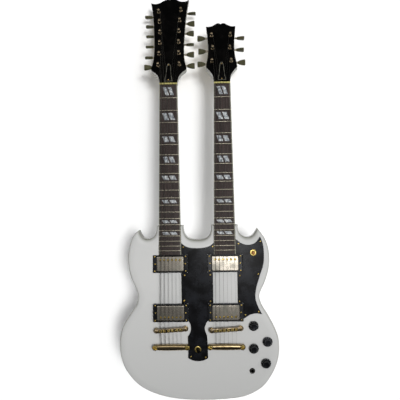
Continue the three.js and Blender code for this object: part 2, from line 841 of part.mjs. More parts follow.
function postPlaces(neck) {
  const places = [];
  for (const side of [-1, 1]) {
    neck.postRowShares.forEach((share, i) => {
      const x = side * neck.postRow * share;
      const y = neck.firstPost + i * neck.postPitch;
      const skew = (neck.headSkewShare * x * y) / neck.headLength;
      const keyRise = wormOffset * neck.keyRiseShares[side < 0 ? 0 : 1][i];
      places.push({ side, number: i, x, y: y + skew, keyRise });
    });
  }
  return places;
}

function nutSolid(neck) {
  const width = neck.nutWidth - 2 * seatGap;
  const section = nutProfileShares.map(([along, up]) => [
    along * nutThickness,
    up * (boardThickness + nutRise) - boardThickness,
  ]);
  const ring = (x) => section.map(([y, z]) => [x, y, z]);
  const insetY = nutThickness - 2 * seatGap;
  const body = solid(loft([ring(-width / 2), ring(width / 2)])
    .scale(1, insetY / nutThickness, 1).translate(0, seatGap, 0));
  return stringPlaces(neck).reduce((nut, { nutX, radius }) => {
    const half = radius + seatGap;
    const slot = new THREE.BoxGeometry(2 * half, 3 * nutThickness, 2 * nutRise);
    slot.translate(nutX, nutThickness / 2, nutStringRise - seatGap + nutRise);
    return cut(nut, solid(slot));
  }, body);
}

const nutProfileShares = [[0, 0.02], [1, 0.02], [1, 0.8], [0.8, 0.93], [0.45, 1], [0, 1]];

// The bridge: a slanted bar on two posts with thumbwheels, and a notched saddle for each course.
function bridgeEnd(neck, end) {
  const reach = (end * bridgePostSpread) / 2;
  return {
    x: neckX(neck) + reach * Math.cos(bridgeSlant),
    y: reach * Math.sin(bridgeSlant) - bridgeDrop,
  };
}

function saddleY(neck, x) {
  return (x - neckX(neck)) * Math.tan(bridgeSlant) - bridgeDrop;
}

function bridgeSolid(neck) {
  const top = saddleHeight() - saddleRise;
  const low = top - bridgeHeight;
  const bar = slab(capsule(bridgeLength, bridgeWidth), bridgeHeight, bridgeRound, 1)
    .rotateZ(bridgeSlant).translate(neckX(neck), -bridgeDrop, low);
  let bridge = solid(bar);
  for (const end of [-1, 1]) {
    const { x, y } = bridgeEnd(neck, end);
    const sunk = face - studDepth + overrun;
    bridge = join(bridge,
      drum(bridgePostRadius, top - sunk + bridgeRound, x, y, sunk, 10),
      drum(thumbwheelRadius, thumbwheelHeight, x, y, low - thumbwheelHeight, 16));
  }
  const places = stringPlaces(neck);
  for (let course = 0; course * neck.paired < places.length; course += 1) {
    const pair = places.slice(course * neck.paired, (course + 1) * neck.paired);
    const x = neckX(neck) + pair.reduce((sum, place) => sum + place.saddleX, 0) / pair.length;
    const section = saddleShares.map(([along, up]) => [
      along * saddleLength,
      up * (saddleRise + saddleCrest) - overrun,
    ]);
    const ring = (across) => section.map(([y, z]) => [x + across, y + saddleY(neck, x), top + z]);
    bridge = join(bridge, solid(loft([ring(-saddleWidth / 2), ring(saddleWidth / 2)])));
  }
  for (const { saddleX, radius } of places) {
    const x = neckX(neck) + saddleX;
    const half = radius + seatGap;
    const notch = new THREE.BoxGeometry(2 * half, 3 * bridgeWidth, 2 * saddleRise);
    notch.translate(x, saddleY(neck, x), top + saddleRise - seatGap + saddleRise);
    bridge = cut(bridge, solid(notch));
  }
  return bridge;
}

const saddleShares = [[-0.5, 0], [0.5, 0], [0.5, 0.35], [0.08, 1], [-0.08, 1], [-0.5, 0.45]];

// The tailpiece: a bar held by two studs, with a string leaving it for each post.
function tailSolid(neck) {
  const low = face + tailLift;
  const bar = slab(tailOutline(), tailHeight, tailRound, 2).translate(neckX(neck), tailCentre, low);
  let tail = solid(bar);
  for (const end of [-1, 1]) {
    const x = neckX(neck) + (end * studSpread) / 2;
    const sunk = face - studDepth + overrun;
    tail = join(tail,
      drum(studShank, low - sunk + tailRound, x, tailCentre, sunk, 8),
      drum(studRadius, studFlange, x, tailCentre, low - studFlange, 10),
      drum(studRadius, tailHeight + studCap, x, tailCentre, low, 10));
    tail = cut(tail, block(2 * studRadius + overrun, studSlot, studSlot, x, tailCentre,
      low + tailHeight + studCap - studSlot / 2));
  }
  return tail;
}

function tailOutline() {
  const half = capsule(tailLength, tailWidth - 2 * tailBelly, 4);
  return half.map(([x, y]) => [
    x,
    y + Math.sign(y) * tailBelly * Math.max(0, 1 - ((2 * x) / studSpread) ** 2),
  ]).flatMap(([x, y], i, all) => {
    const [nx, ny] = all[(i + 1) % all.length];
    if (Math.abs(nx - x) < studSpread) return [[x, y]];
    const between = bellyShares.map((share) => {
      const px = x + (nx - x) * share;
      const rise = tailBelly * (1 - ((2 * px) / studSpread) ** 2);
      return [px, y + (ny - y) * share + Math.sign(y) * Math.max(0, rise)];
    });
    return [[x, y], ...between];
  });
}

const bellyShares = [0.25, 0.5, 0.75];

// One string, from inside the tailpiece over its saddle and through its nut slot to its post,
// round the post and into the post's hole.
function stringPoints(neck, place, post) {
  const x = neckX(neck) + place.saddleX;
  const tailZ = face + tailLift + tailHeight / 2;
  const leave = tailCentre + tailWidth / 2;
  const toBody = neckMatrix(neck);
  const toFace = headMatrix(neck);
  const overSaddle = new THREE.Vector3(x, saddleY(neck, x), saddleHeight() + place.radius);
  const nutZ = nutStringRise + place.radius;
  const points = [
    new THREE.Vector3(x, leave - tailRound, tailZ),
    new THREE.Vector3(x, leave + overrun, tailZ),
    overSaddle,
    new THREE.Vector3(place.nutX, 0, nutZ).applyMatrix4(toBody),
    new THREE.Vector3(place.nutX, nutThickness, nutZ - nutDip).applyMatrix4(toBody),
  ];
  const fromHead = toFace.clone().invert();
  const start = points.at(-1).clone().applyMatrix4(fromHead);
  for (const point of windings(post, start, place.radius, neck.stringTurns)) {
    points.push(point.applyMatrix4(toFace));
  }
  return points;
}

function windings(post, start, radius, turns) {
  const hand = -post.side;
  const reach = postWaist + seatGap + radius;
  const pitch = 2 * radius + stringLoopGap;
  const away = new THREE.Vector2(post.x - start.x, post.y - start.y);
  const distance = away.length();
  const heading = Math.atan2(away.y, away.x) - hand * Math.asin(reach / distance);
  let angle = heading - (hand * turn) / 4;
  const first = postHoleHeight - turns * pitch;
  const points = [];
  const steps = turns * windSteps;
  for (let i = 0; i <= steps; i += 1) {
    const z = first + (i / windSteps) * pitch;
    points.push(new THREE.Vector3(post.x + reach * Math.cos(angle), post.y + reach * Math.sin(angle), z));
    angle += (hand * turn) / windSteps;
  }
  angle -= (hand * turn) / windSteps;
  const bendX = post.x + (reach - holeBend) * Math.cos(angle);
  const bendY = post.y + (reach - holeBend) * Math.sin(angle);
  const side = Math.sqrt(reach ** 2 - 2 * reach * holeBend);
  const lean = Math.atan2(holeBend, side);
  const whole = turn / 4 + lean;
  for (const share of bendShares) {
    const around = angle + hand * whole * share;
    points.push(new THREE.Vector3(bendX + holeBend * Math.cos(around),
      bendY + holeBend * Math.sin(around), postHoleHeight));
  }
  const inward = angle + hand * lean;
  points.push(new THREE.Vector3(post.x + stringEnd * Math.cos(inward),
    post.y + stringEnd * Math.sin(inward), postHoleHeight));
  return points;
}

const bendShares = [0.33, 0.66, 1];

function holeAngle(post, start, radius) {
  const hand = -post.side;
  const reach = postWaist + seatGap + radius;
  const distance = Math.hypot(post.x - start.x, post.y - start.y);
  const heading = Math.atan2(post.y - start.y, post.x - start.x) - hand * Math.asin(reach / distance);
  const side = Math.sqrt(reach ** 2 - 2 * reach * holeBend);
  return heading - (hand * turn) / 4 + hand * Math.atan2(holeBend, side);
}

// The lowest post on each side takes the outermost string.
function postOf(neck, index) {
  const perSide = neck.postRowShares.length;
  const side = index < perSide ? -1 : 1;
  const number = side < 0 ? index : 2 * perSide - 1 - index;
  return postPlaces(neck).find((post) => post.side === side && post.number === number);
}

function leastGap(points, radius) {
  let least = Infinity;
  for (let i = 0; i < points.length; i += 1) {
    for (let j = i + windSteps / 2; j < points.length; j += 1) {
      least = Math.min(least, points[i].distanceTo(points[j]) - 2 * radius);
    }
  }
  return least;
}

function strungTail(neck) {
  let tail = tailSolid(neck);
  let least = Infinity;
  stringPlaces(neck).forEach((place, i) => {
    const points = stringPoints(neck, place, postOf(neck, i));
    least = Math.min(least, leastGap(points, place.radius));
    tail = join(tail, solid(tube(points, place.radius, stringSides)));
  });
  console.log(`strings of the ${neck.name}-string neck: least gap of a winding to itself`,
    `${least.toFixed(2)} mm`);
  return tail;
}

// One side's tuners: a plate on the back of the head with a gear housing and a post for each.
function tunerSolid(neck, side) {
  const posts = postPlaces(neck).filter((post) => post.side === side);
  const low = -headThickness - seatGap - plateThickness;
  const middleX = posts.reduce((sum, post) => sum + post.x, 0) / posts.length;
  const from = posts[0].y - plateEnd;
  const to = posts.at(-1).y + posts.at(-1).keyRise + plateEnd;
  let strip = block(plateWidth, to - from, plateThickness, middleX, (from + to) / 2, low);
  const toHead = headMatrix(neck).invert();
  const keyZ = keyHeight();
  for (const post of posts) {
    const index = side < 0 ? post.number : 2 * posts.length - 1 - post.number;
    const place = stringPlaces(neck)[index];
    const nutPoint = new THREE.Vector3(place.nutX, nutThickness, nutStringRise + place.radius - nutDip)
      .applyMatrix4(neckMatrix(neck)).applyMatrix4(toHead);
    const profile = [[0, low], [postRadius, low], [postRadius, seatGap], [bushingRadius, seatGap],
      [bushingRadius, bushingHeight], [postWaist, postWaistStart], [postWaist, postWaistEnd],
      [postRadius, postHeight], [0, postHeight]];
    const hole = new THREE.CylinderGeometry(place.radius + holeRoom, place.radius + holeRoom,
      4 * postRadius, 4).rotateZ(turn / 4);
    hole.rotateZ(holeAngle(post, nutPoint, place.radius)).translate(post.x, post.y, postHoleHeight);
    const housing = slab(rectangle(housingWidth, housingLength), housingHeight, housingRound, 1);
    housing.translate(post.x, post.y + post.keyRise / 2, low - housingHeight + overrun);
    const bore = new THREE.CylinderGeometry(keyShaftRadius + 2 * seatGap,
      keyShaftRadius + 2 * seatGap, housingWidth, 6).rotateZ(turn / 4);
    bore.translate(post.x + side * housingWidth / 2, post.y + post.keyRise, keyZ);
    strip = cut(join(strip, solid(housing), cut(lathe(profile, 6, post.x, post.y), solid(hole))),
      solid(bore));
  }
  return strip;
}

function keyHeight() {
  return -headThickness - seatGap - plateThickness - housingHeight / 2 + overrun / 2;
}

// A key: a shaft with a collar and a button that widens outwards, along its own x from the shaft's
// blind end in the housing.
function keySolid(neck) {
  const buttonStart = neck.buttonStart - keyStart();
  const collar = buttonStart - keyCollarLength;
  const rod = lathe([[0, 0], [keyShaftRadius, 0], [keyShaftRadius, collar],
    [keyCollarRadius, collar], [keyCollarRadius, buttonStart], [0, buttonStart]], 6);
  const toX = new THREE.Matrix4().makeRotationY(turn / 4);
  const rings = buttonShares.map(([along, wide, thick]) => buttonSection.map(([across, up]) => [
    buttonStart + along * buttonLength,
    (across * wide * buttonWidth) / 2,
    (up * thick * buttonThickness) / 2,
  ]));
  const button = loft(rings);
  return join(placed(geometryOf(rod), toX), solid(button));
}

function keyStart() {
  return housingWidth / 2 - keyDepth;
}

const buttonShares = [[-0.02, 0.34, 0.66], [0.3, 0.62, 0.94], [0.68, 1, 1], [0.94, 0.96, 0.96],
  [1, 0.8, 0.7]];
const buttonSection = [[1, 0], [0.8, 1], [-0.8, 1], [-1, 0], [-0.8, -1], [0.8, -1]];

// Pickups: a black frame with a slanted top, and a cover with six pole screws in its window.
function ringSolid(neck, pickup) {
  const window = roundedBox(coverLength + 2 * coverGap, coverWidth + 2 * coverGap, coverRound, 1)
    .reverse();
  const tall = face;
  const ring = slab(roundedBox(ringLength, ringWidth, ringRound), tall, 0, 1, [window]);
  const slope = (stringHeight(0) - stringHeight(ringWidth)) / ringWidth;
  const top = coverTop(pickup) - ringBelowCover - face;
  const lid = new THREE.BoxGeometry(2 * ringLength, 2 * ringWidth, 2 * tall);
  lid.translate(0, 0, top + tall).applyMatrix4(new THREE.Matrix4().makeRotationX(-Math.atan(slope)));
  let whole = cut(solid(ring), solid(lid));
  const screwLow = coverTop(pickup) - coverDepth - earThickness - heightScrewTail - face;
  for (const end of [-1, 1]) {
    whole = join(whole, drum(heightScrewRadius, top - screwLow - overrun,
      (end * heightScrewSpread) / 2, 0, screwLow, 6));
  }
  return whole;
}

function coverSolid(pickup) {
  const shell = slab(roundedBox(coverLength, coverWidth, coverRound, 1), coverDepth, coverRound / 2, 1);
  let cover = solid(shell.translate(0, 0, -coverDepth));
  const ears = block(earLength, earWidth, earThickness, 0, 0, -coverDepth - earThickness / 2);
  const holes = [-1, 1].map((end) => drum(heightScrewRadius + 2 * seatGap, 4 * earThickness,
    (end * heightScrewSpread) / 2, 0, -coverDepth - 2 * earThickness, 6));
  cover = join(cover, cut(ears, ...holes));
  for (let i = 0; i < 6; i += 1) {
    const x = poleSpread * (i / 5 - 1 / 2);
    cover = join(cover, drum(poleRadius, poleRise + overrun, x, pickup.poles, -overrun, 8));
  }
  return cover;
}

// The pickguards. The treble one is given as shares of the room between the board and the body's
// edge, the middle one as shares of half the room between the boards.
const trebleGuardShares = [[0, 0.978], [0.085, 0.95], [0.21, 0.918], [0.385, 0.9], [0.53, 0.9],
  [0.675, 0.918], [0.785, 0.955], [0.87, 1], [0.925, 0.962], [0.97, 0.9], [0.996, 0.825],
  [1, 0.755], [0.99, 0.68], [0.94, 0.6], [0.868, 0.526], [0.787, 0.437], [0.722, 0.36],
  [0.682, 0.285], [0.675, 0.23], [0.7, 0.166], [0.768, 0.1], [0.838, 0.05], [0.905, 0.004],
  [0.75, 0.015], [0.625, 0.012], [0.485, 0], [0.38, -0.022], [0.275, -0.048]];
const middleTopShares = [[-1, 1], [-0.9, 0.986], [-0.7, 0.967], [-0.4, 0.955], [0, 0.951],
  [0.4, 0.955], [0.7, 0.966], [0.88, 0.98], [1, 0.995]];
const middleLowShares = [[0.6, 0.346], [0.46, 0.316], [0.385, 0.288], [0.39, 0.258], [0.46, 0.232],
  [0.51, 0.215], [0.53, 0.16], [0.54, 0.1], [0.555, 0.034], [0.5, 0.02], [0.26, 0.006], [-0.03, 0],
  [-0.31, 0.005], [-0.54, 0.016], [-0.66, 0.03], [-0.635, 0.095], [-0.65, 0.155], [-0.66, 0.203],
  [-0.57, 0.224], [-0.485, 0.25], [-0.46, 0.28], [-0.5, 0.313], [-0.62, 0.342]];

function trebleGuardOutline() {
  const [, , ...rest] = trebleGuardShares;
  const start = [trebleGuardShares[0], trebleGuardShares[1], ...rest.slice(0, 6)];
  const first = smooth(start.map(trebleGuardPoint), 14);
  const outside = smooth(rest.slice(5, 21).map(trebleGuardPoint), 26);
  const under = smooth(rest.slice(20).map(trebleGuardPoint), 8);
  const last = under.at(-1);
  return [...first, ...outside.slice(1), ...under.slice(1), [first[0][0], last[1]]];
}

function trebleGuardPoint([across, up]) {
  const inner = neckSpacing / 2 + guardInner;
  const outer = (trebleSideShares[16][0] * bodyWidth) / 2 - guardEdge;
  return [inner + (outer - inner) * across, guardLow + (guardTop - guardLow) * up];
}

function middleGuardPoint([across, up]) {
  const half = neckSpacing / 2 - guardInner - seatGap;
  return [half * across, middleGuardLow + (middleGuardTop - middleGuardLow) * up];
}

function middleGuardOutline() {
  const run = (from, to, steps) => smooth(middleLowShares.slice(from, to).map(middleGuardPoint), steps);
  const top = smooth(middleTopShares.map(middleGuardPoint), 12);
  const half = top.at(-1)[0];
  const ringSide = bridgePickupCentre - ringWidth / 2 + 2 * overrun;
  return [...top, [half, ringSide], ...run(0, 6, 10), ...run(6, 9, 3), ...run(9, 14, 8),
    ...run(14, 17, 3), ...run(17, middleLowShares.length, 10), [-half, ringSide]];
}

function guardSolid(outline, necksBeside) {
  let guard = solid(slab(outline, guardThickness).translate(0, 0, face + seatGap));
  for (const neck of necksBeside) {
    guard = cut(guard, placed(taper(neck, 0, -boardLength, seatGap, -face, face), neckMatrix(neck)));
    for (const pickup of pickups) {
      guard = cut(guard, block(ringLength + 2 * seatGap, ringWidth + 2 * seatGap, face,
        neckX(neck), pickup.y, face));
    }
    for (const end of [-1, 1]) {
      guard = cut(guard, drum(studShank + seatGap, face, neckX(neck) + (end * studSpread) / 2,
        tailCentre, face, 8));
    }
  }
  for (const item of switches) {
    guard = cut(guard, drum(switchBushRadius + seatGap, face, item.x, item.y, face, 14));
  }
  return guard;
}

// Controls.
function knobSolid() {
  const profile = [[0, knobCellDepth], [knobCellRadius, knobCellDepth], [knobCellRadius, 0],
    [knobRadius, 0], [knobRadius, knobSkirt], [knobTopRadius, knobSkirt + overrun],
    [knobTopRadius - overrun, knobHeight], [0, knobHeight]];
  const low = bodyThickness - cavityTop - potHeight / 2 - face - knobLift;
  return join(lathe(profile, 16), drum(knobShaftRadius, knobCellDepth + overrun - low, 0, 0, low, 8));
}

function potSolid() {
  const top = bodyThickness - cavityTop - seatGap;
  const nutLow = face + seatGap;
  const can = drum(potRadius, potHeight, 0, 0, top - potHeight, 12);
  const bush = drum(potBushRadius, nutLow + potNutHeight - top + overrun, 0, 0, top - overrun, 8);
  const nut = drum(potNutRadius, potNutHeight, 0, 0, nutLow, 6);
  const tag = block(potRadius, potTag, potTag, 0, -potRadius, top - potTag);
  const bore = drum(knobShaftRadius + 2 * seatGap, 2 * face, 0, 0, top - potHeight / 2 - seatGap - overrun,
    8);
  return cut(join(can, bush, nut, tag), bore);
}

function jackSolid() {
  const top = face + seatGap;
  const under = bodyThickness - cavityTop - seatGap;
  const barrel = drum(jackBarrel, top + jackNutHeight + overrun - under, 0, 0, under, 12);
  const nut = drum(jackNutRadius, jackNutHeight, 0, 0, top, 6);
  const flange = drum(jackNutRadius, jackFlange, 0, 0, under - jackFlange, 12);
  const bore = drum(jackBore, 3 * face, 0, 0, under - jackDepth, 12);
  const strips = [-1, 1].map((side) => block(jackStrip, 2 * jackStrip, jackDepth, side * jackStripAt, 0,
    under - jackDepth));
  return join(cut(join(barrel, nut, flange), bore), ...strips);
}

function switchSolid() {
  const top = face + seatGap + guardThickness;
  const bench = bodyThickness - overrun;
  const frame = block(switchFrameLength, switchFrameWidth, switchFrameDepth - overrun, 0, 0,
    bench - switchFrameDepth + overrun);
  const bush = drum(switchBushRadius, top + switchRingHeight - bench + overrun, 0, 0, bench - overrun, 14);
  const profile = [[switchBushRadius - overrun, 0], [switchRingRadius, 0],
    [switchRingRadius, switchRingHeight * 0.6], [switchRingRadius - overrun, switchRingHeight],
    [switchBore + overrun / 2, switchRingHeight], [switchBushRadius - overrun, switchRingHeight / 2],
    [switchBushRadius - overrun, 0]];
  const ring = lathe(profile, 14, 0, 0, top + seatGap);
  const bore = drum(switchBore, 2 * face, 0, 0, pivotHeight() - pivotBall, 14);
  return cut(join(frame, bush, ring), bore);
}

function pivotHeight() {
  return face + pivotRise;
}

const ballShares = [[0, -0.8], [0.6, -0.8], [1, -0.15], [1, 0.15], [0.44, 0.85]];

function leverSolid() {
  const rod = lathe([...ballShares.map(([across, up]) => [across * pivotBall, up * pivotBall]),
    [leverRadius, leverLength - tipLength], [tipRadius * 0.62, leverLength - tipLength + overrun / 2],
    [tipRadius, leverLength - tipLength / 2], [tipRadius, leverLength - tipRadius / 2],
    [tipRadius * 0.6, leverLength], [0, leverLength]], 14);
  return rod;
}

// Small fittings.
function trussCoverSolid(neck) {
  const { bottom, width } = neck.trussCover;
  const half = coverShares.map(([across, up]) => [(across * width) / 2, bottom + up * trussCoverLength]);
  const right = smooth(half, 8);
  const cover = slab([...right, ...mirrored(right.slice(0, -1))], trussCoverThickness, plateEdge, 1);
  return solid(cover.translate(0, 0, seatGap));
}

const coverShares = [[1, 0], [0.97, 0.1], [0.8, 0.3], [0.66, 0.5], [0.6, 0.7], [0.5, 0.85], [0.3, 0.96],
  [0, 1]];

function strapButton() {
  const profile = [[0, -strapScrewLength], [strapScrewRadius, -strapScrewLength],
    [strapScrewRadius, seatGap], [strapRadius * 0.72, seatGap], [strapRadius * 0.55, strapHeight * 0.35],
    [strapRadius * 0.55, strapHeight * 0.6], [strapRadius, strapHeight * 0.8],
    [strapRadius, strapHeight * 0.93], [strapRadius * 0.7, strapHeight], [0, strapHeight]];
  return lathe(profile, 10);
}

function controlCover() {
  const plate = slab(controlOutline(cavityLip - seatGap), coverPlate, plateEdge, 1);
  return solid(plate);
}

// Finishes, as in the photograph.
const finish = {
  white: { color: 0xd8d9d4, roughness: 0.18, metalness: 0 },
  black: { color: 0x141414, roughness: 0.25, metalness: 0 },
  gold: { color: 0xb08a3c, roughness: 0.28, metalness: 1 },
  rosewood: { color: 0x3a2a24, roughness: 0.6, metalness: 0 },
  nut: { color: 0xcfc48a, roughness: 0.45, metalness: 0 },
  olive: { color: 0x4d4a26, roughness: 0.35, metalness: 0 },
  amber: { color: 0x8a5a24, roughness: 0.3, metalness: 0 },
};

function mesh(name, body, look, x = 0, y = 0, z = 0) {
  const made = new THREE.Mesh(geometryOf(body), new THREE.MeshStandardMaterial(finish[look]));
  made.name = name;
  made.position.set(x, y, z);
  return made;
}

function headGroup(neck) {
  const group = new THREE.Group();
  group.position.copy(headPlace);
  group.rotation.x = -headAngle;
  group.add(mesh(`truss_rod_cover_${neck.name}`, trussCoverSolid(neck), "black"));
  const sides = neck.postRowShares.length;
  for (const side of [-1, 1]) {
    const where = side < 0 ? "bass" : "treble";
    group.add(mesh(`tuner_strip_${neck.name}_${where}`, tunerSolid(neck, side), "gold"));
  }
  const key = keySolid(neck);
  postPlaces(neck).forEach((post, i) => {
    const where = post.side < 0 ? "bass" : "treble";
    const name = `tuner_key_${neck.name}_${where}_${post.number + 1}`;
    const made = mesh(name, key, "olive", post.x + post.side * keyStart(), post.y + post.keyRise,
      keyHeight());
    const turned = neck.keyTurns[post.side < 0 ? 0 : 1][i % sides] * degree;
    made.rotation.set(turned, 0, post.side < 0 ? turn / 2 : 0, "ZXY");
    group.add(made);
  });
  return group;
}

function neckGroup(neck) {
  const group = new THREE.Group();
  neckMatrix(neck).decompose(group.position, group.quaternion, group.scale);
  group.add(
    mesh(`neck_${neck.name}`, neckSolid(neck), "white"),
    mesh(`fingerboard_${neck.name}`, boardSolid(neck), "rosewood"),
    mesh(`nut_${neck.name}`, nutSolid(neck), "nut"),
    headGroup(neck),
  );
  group.children[1].position.z = seatGap / 2;
  return group;
}

function bodyGroup() {
  const group = new THREE.Group();
  group.add(mesh("body", bodySolid(), "white"));
  group.add(mesh("control_cover", controlCover(), "black"));
  group.add(mesh("pickguard_treble", guardSolid(trebleGuardOutline(), [necks[1]]), "black"));
  group.add(mesh("pickguard_centre", guardSolid(middleGuardOutline(), necks), "black"));
  for (const neck of necks) {
    group.add(mesh(`bridge_${neck.name}`, bridgeSolid(neck), "gold"));
    group.add(mesh(`tailpiece_${neck.name}`, strungTail(neck), "gold"));
    for (const pickup of pickups) {
      const name = `${neck.name}_${pickup.name}`;
      const x = neckX(neck);
      group.add(mesh(`pickup_ring_${name}`, ringSolid(neck, pickup), "black", x, pickup.y, face + seatGap));
      group.add(mesh(`pickup_${name}`, coverSolid(pickup), "gold", x, pickup.y, coverTop(pickup)));
    }
  }
  for (const pot of pots) {
    group.add(mesh(`potentiometer_${pot.name}`, potSolid(), "gold", pot.x, pot.y));
    group.add(mesh(`knob_${pot.name}`, knobSolid(), "black", pot.x, pot.y, face + knobLift));
  }
  group.add(mesh("output_jack", jackSolid(), "gold", jack.x, jack.y));
  for (const item of switches) {
    group.add(mesh(`${item.name}_switch`, switchSolid(), "gold", item.x, item.y));
    const lever = mesh(`${item.name}_switch_lever`, leverSolid(), item.tilt ? "black" : "amber",
      item.x, item.y, pivotHeight());
    const axis = new THREE.Vector3(-Math.sin(item.lean), Math.cos(item.lean), 0);
    lever.quaternion.setFromAxisAngle(axis, item.tilt);
    group.add(lever);
  }
  const button = mesh("strap_button", strapButton(), "gold", strapPlace.x, strapPlace.y);
  button.rotation.x = turn / 2;
  group.add(button);
  return group;
}

const guitar = new THREE.Group();
guitar.rotation.x = turn / 4;
guitar.add(bodyGroup(), ...eachNeck(neckGroup));

export default guitar;
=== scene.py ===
import json
import math

import bmesh
import bpy
import numpy as np
from mathutils import Matrix, Vector
from mathutils.geometry import delaunay_2d_cdt

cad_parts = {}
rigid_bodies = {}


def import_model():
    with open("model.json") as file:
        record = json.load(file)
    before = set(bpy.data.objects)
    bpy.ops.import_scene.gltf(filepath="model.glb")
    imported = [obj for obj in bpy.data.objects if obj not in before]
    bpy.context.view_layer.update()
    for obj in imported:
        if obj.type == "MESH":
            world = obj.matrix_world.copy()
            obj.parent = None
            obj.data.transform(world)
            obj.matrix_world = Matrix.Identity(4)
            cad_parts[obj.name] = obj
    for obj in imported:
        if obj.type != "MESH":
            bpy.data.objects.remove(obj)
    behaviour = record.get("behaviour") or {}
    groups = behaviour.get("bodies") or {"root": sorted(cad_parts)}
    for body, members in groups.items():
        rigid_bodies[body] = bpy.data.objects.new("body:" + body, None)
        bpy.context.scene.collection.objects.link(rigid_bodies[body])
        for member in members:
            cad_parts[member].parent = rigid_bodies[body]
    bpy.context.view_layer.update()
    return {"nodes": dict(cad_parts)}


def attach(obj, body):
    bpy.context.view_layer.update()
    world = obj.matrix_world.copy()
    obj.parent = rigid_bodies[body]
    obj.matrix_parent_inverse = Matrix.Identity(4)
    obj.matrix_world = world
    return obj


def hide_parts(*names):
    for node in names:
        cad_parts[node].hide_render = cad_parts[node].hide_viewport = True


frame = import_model()
nodes = frame["nodes"]

# Shapes are drawn in millimetres in the frame of the part that carries them, and each frame's
# matrix brings them to metres upright. In the body's own frame x is right, y up, z out of the face.
turn = 2 * math.pi
degree = turn / 360
millimetre = 0.001
identity = Matrix.Identity(4)
layout = {
    "scale": 628.65, "frets": 20, "neckSpacing": 139.7, "neckPitch": 3 * degree, "headAngle": 17 * degree,
    "face": 42, "edgeRound": 4.5, "boardRise": 5, "boardThickness": 5.5, "boardOverhang": 9,
    "boardRadius": 305, "boardLift": 0.15, "nutThickness": 4.8, "stringAtNut": 1.6, "stringAtSaddle": 4.8,
    "headDrop": 3.5, "headThickness": 15, "seat": 0.3, "shoulder": 262, "cavityTop": 36,
}
face = layout["face"]
seat = layout["seat"]
necks = [
    {
        "name": "12", "side": -1, "paired": 2, "nutWidth": 46.5, "endWidth": 57.5,
        "gauges": [0.69, 1.19, 0.46, 0.99, 0.32, 0.76, 0.3, 0.58, 0.36, 0.36, 0.3, 0.3],
        "nutSpan": 37.4, "saddleSpan": 51.6, "pairAtNut": 2.1, "pairAtSaddle": 2.5,
        "headLength": 275.3, "headSkew": 0.08, "firstPost": 55.5, "postPitch": 35.4, "postRow": 26,
        "postRows": [1.075, 1.008, 0.98, 0.988, 1.06, 1.18],
        "keyRises": [[0.9, 0.52, 0.55, 0.46, 0.3, 0.1], [1, 1.1, 0.8, 0.95, 0.7, 0.63]],
        "keyTurns": [[-10, 45, 50, 64, 70, 72], [15, 25, 112, 18, 25, 108]],
        "buttonStart": 19.2, "stringTurns": 1.5,
    },
    {
        "name": "6", "side": 1, "paired": 1, "nutWidth": 43, "endWidth": 56,
        "gauges": [1.17, 0.91, 0.66, 0.43, 0.33, 0.3],
        "nutSpan": 36, "saddleSpan": 51.6, "pairAtNut": 0, "pairAtSaddle": 0,
        "headLength": 189, "headSkew": 0, "firstPost": 63.4, "postPitch": 41.6, "postRow": 24.4,
        "postRows": [1.03, 0.935, 1.03],
        "keyRises": [[0.7, 0.66, 0.8], [1, 0.95, 0.63]],
        "keyTurns": [[-15, -22, -25], [22, 92, 97]],
        "buttonStart": 18.2, "stringTurns": 2,
    },
]


def fretDistance(number):
    return layout["scale"] * (1 - 2 ** (-number / 12))


boardLength = fretDistance(layout["frets"]) + layout["boardOverhang"]
boardEnd = (layout["scale"] - boardLength) * math.cos(layout["neckPitch"])
bodyFrame = Matrix.Scale(millimetre, 4) @ Matrix.Rotation(turn / 4, 4, "X")


def neckFrame(neck):
    pitch = layout["neckPitch"]
    rise = face + layout["boardRise"] - boardLength * math.sin(pitch)
    height = boardEnd + boardLength * math.cos(pitch)
    place = Matrix.Translation((neck["side"] * layout["neckSpacing"] / 2, height, rise))
    return bodyFrame @ place @ Matrix.Rotation(-pitch, 4, "X")


def headFrame(neck):
    start = Matrix.Translation((0, layout["nutThickness"], -layout["headDrop"]))
    return neckFrame(neck) @ start @ Matrix.Rotation(-layout["headAngle"], 4, "X")


def neckX(neck):
    return neck["side"] * layout["neckSpacing"] / 2


def boardHalfWidth(neck, y):
    return (neck["nutWidth"] - (neck["endWidth"] - neck["nutWidth"]) * y / boardLength) / 2


# The graph that materials and node trees are written with.
def operator(kind, swapped=False):
    # joins two sockets, or a socket and a number, by one Math node
    def apply(self, other):
        first, second = (other, self) if swapped else (self, other)
        return self.graph.add("ShaderNodeMath", {"operation": kind}, {0: first, 1: second})
    return apply


class Wire:
    def __init__(self, graph, socket):
        self.graph = graph
        self.socket = socket

    __add__, __radd__ = operator("ADD"), operator("ADD", True)
    __sub__, __rsub__ = operator("SUBTRACT"), operator("SUBTRACT", True)
    __mul__, __rmul__ = operator("MULTIPLY"), operator("MULTIPLY", True)
    __truediv__, __rpow__ = operator("DIVIDE"), operator("POWER", True)


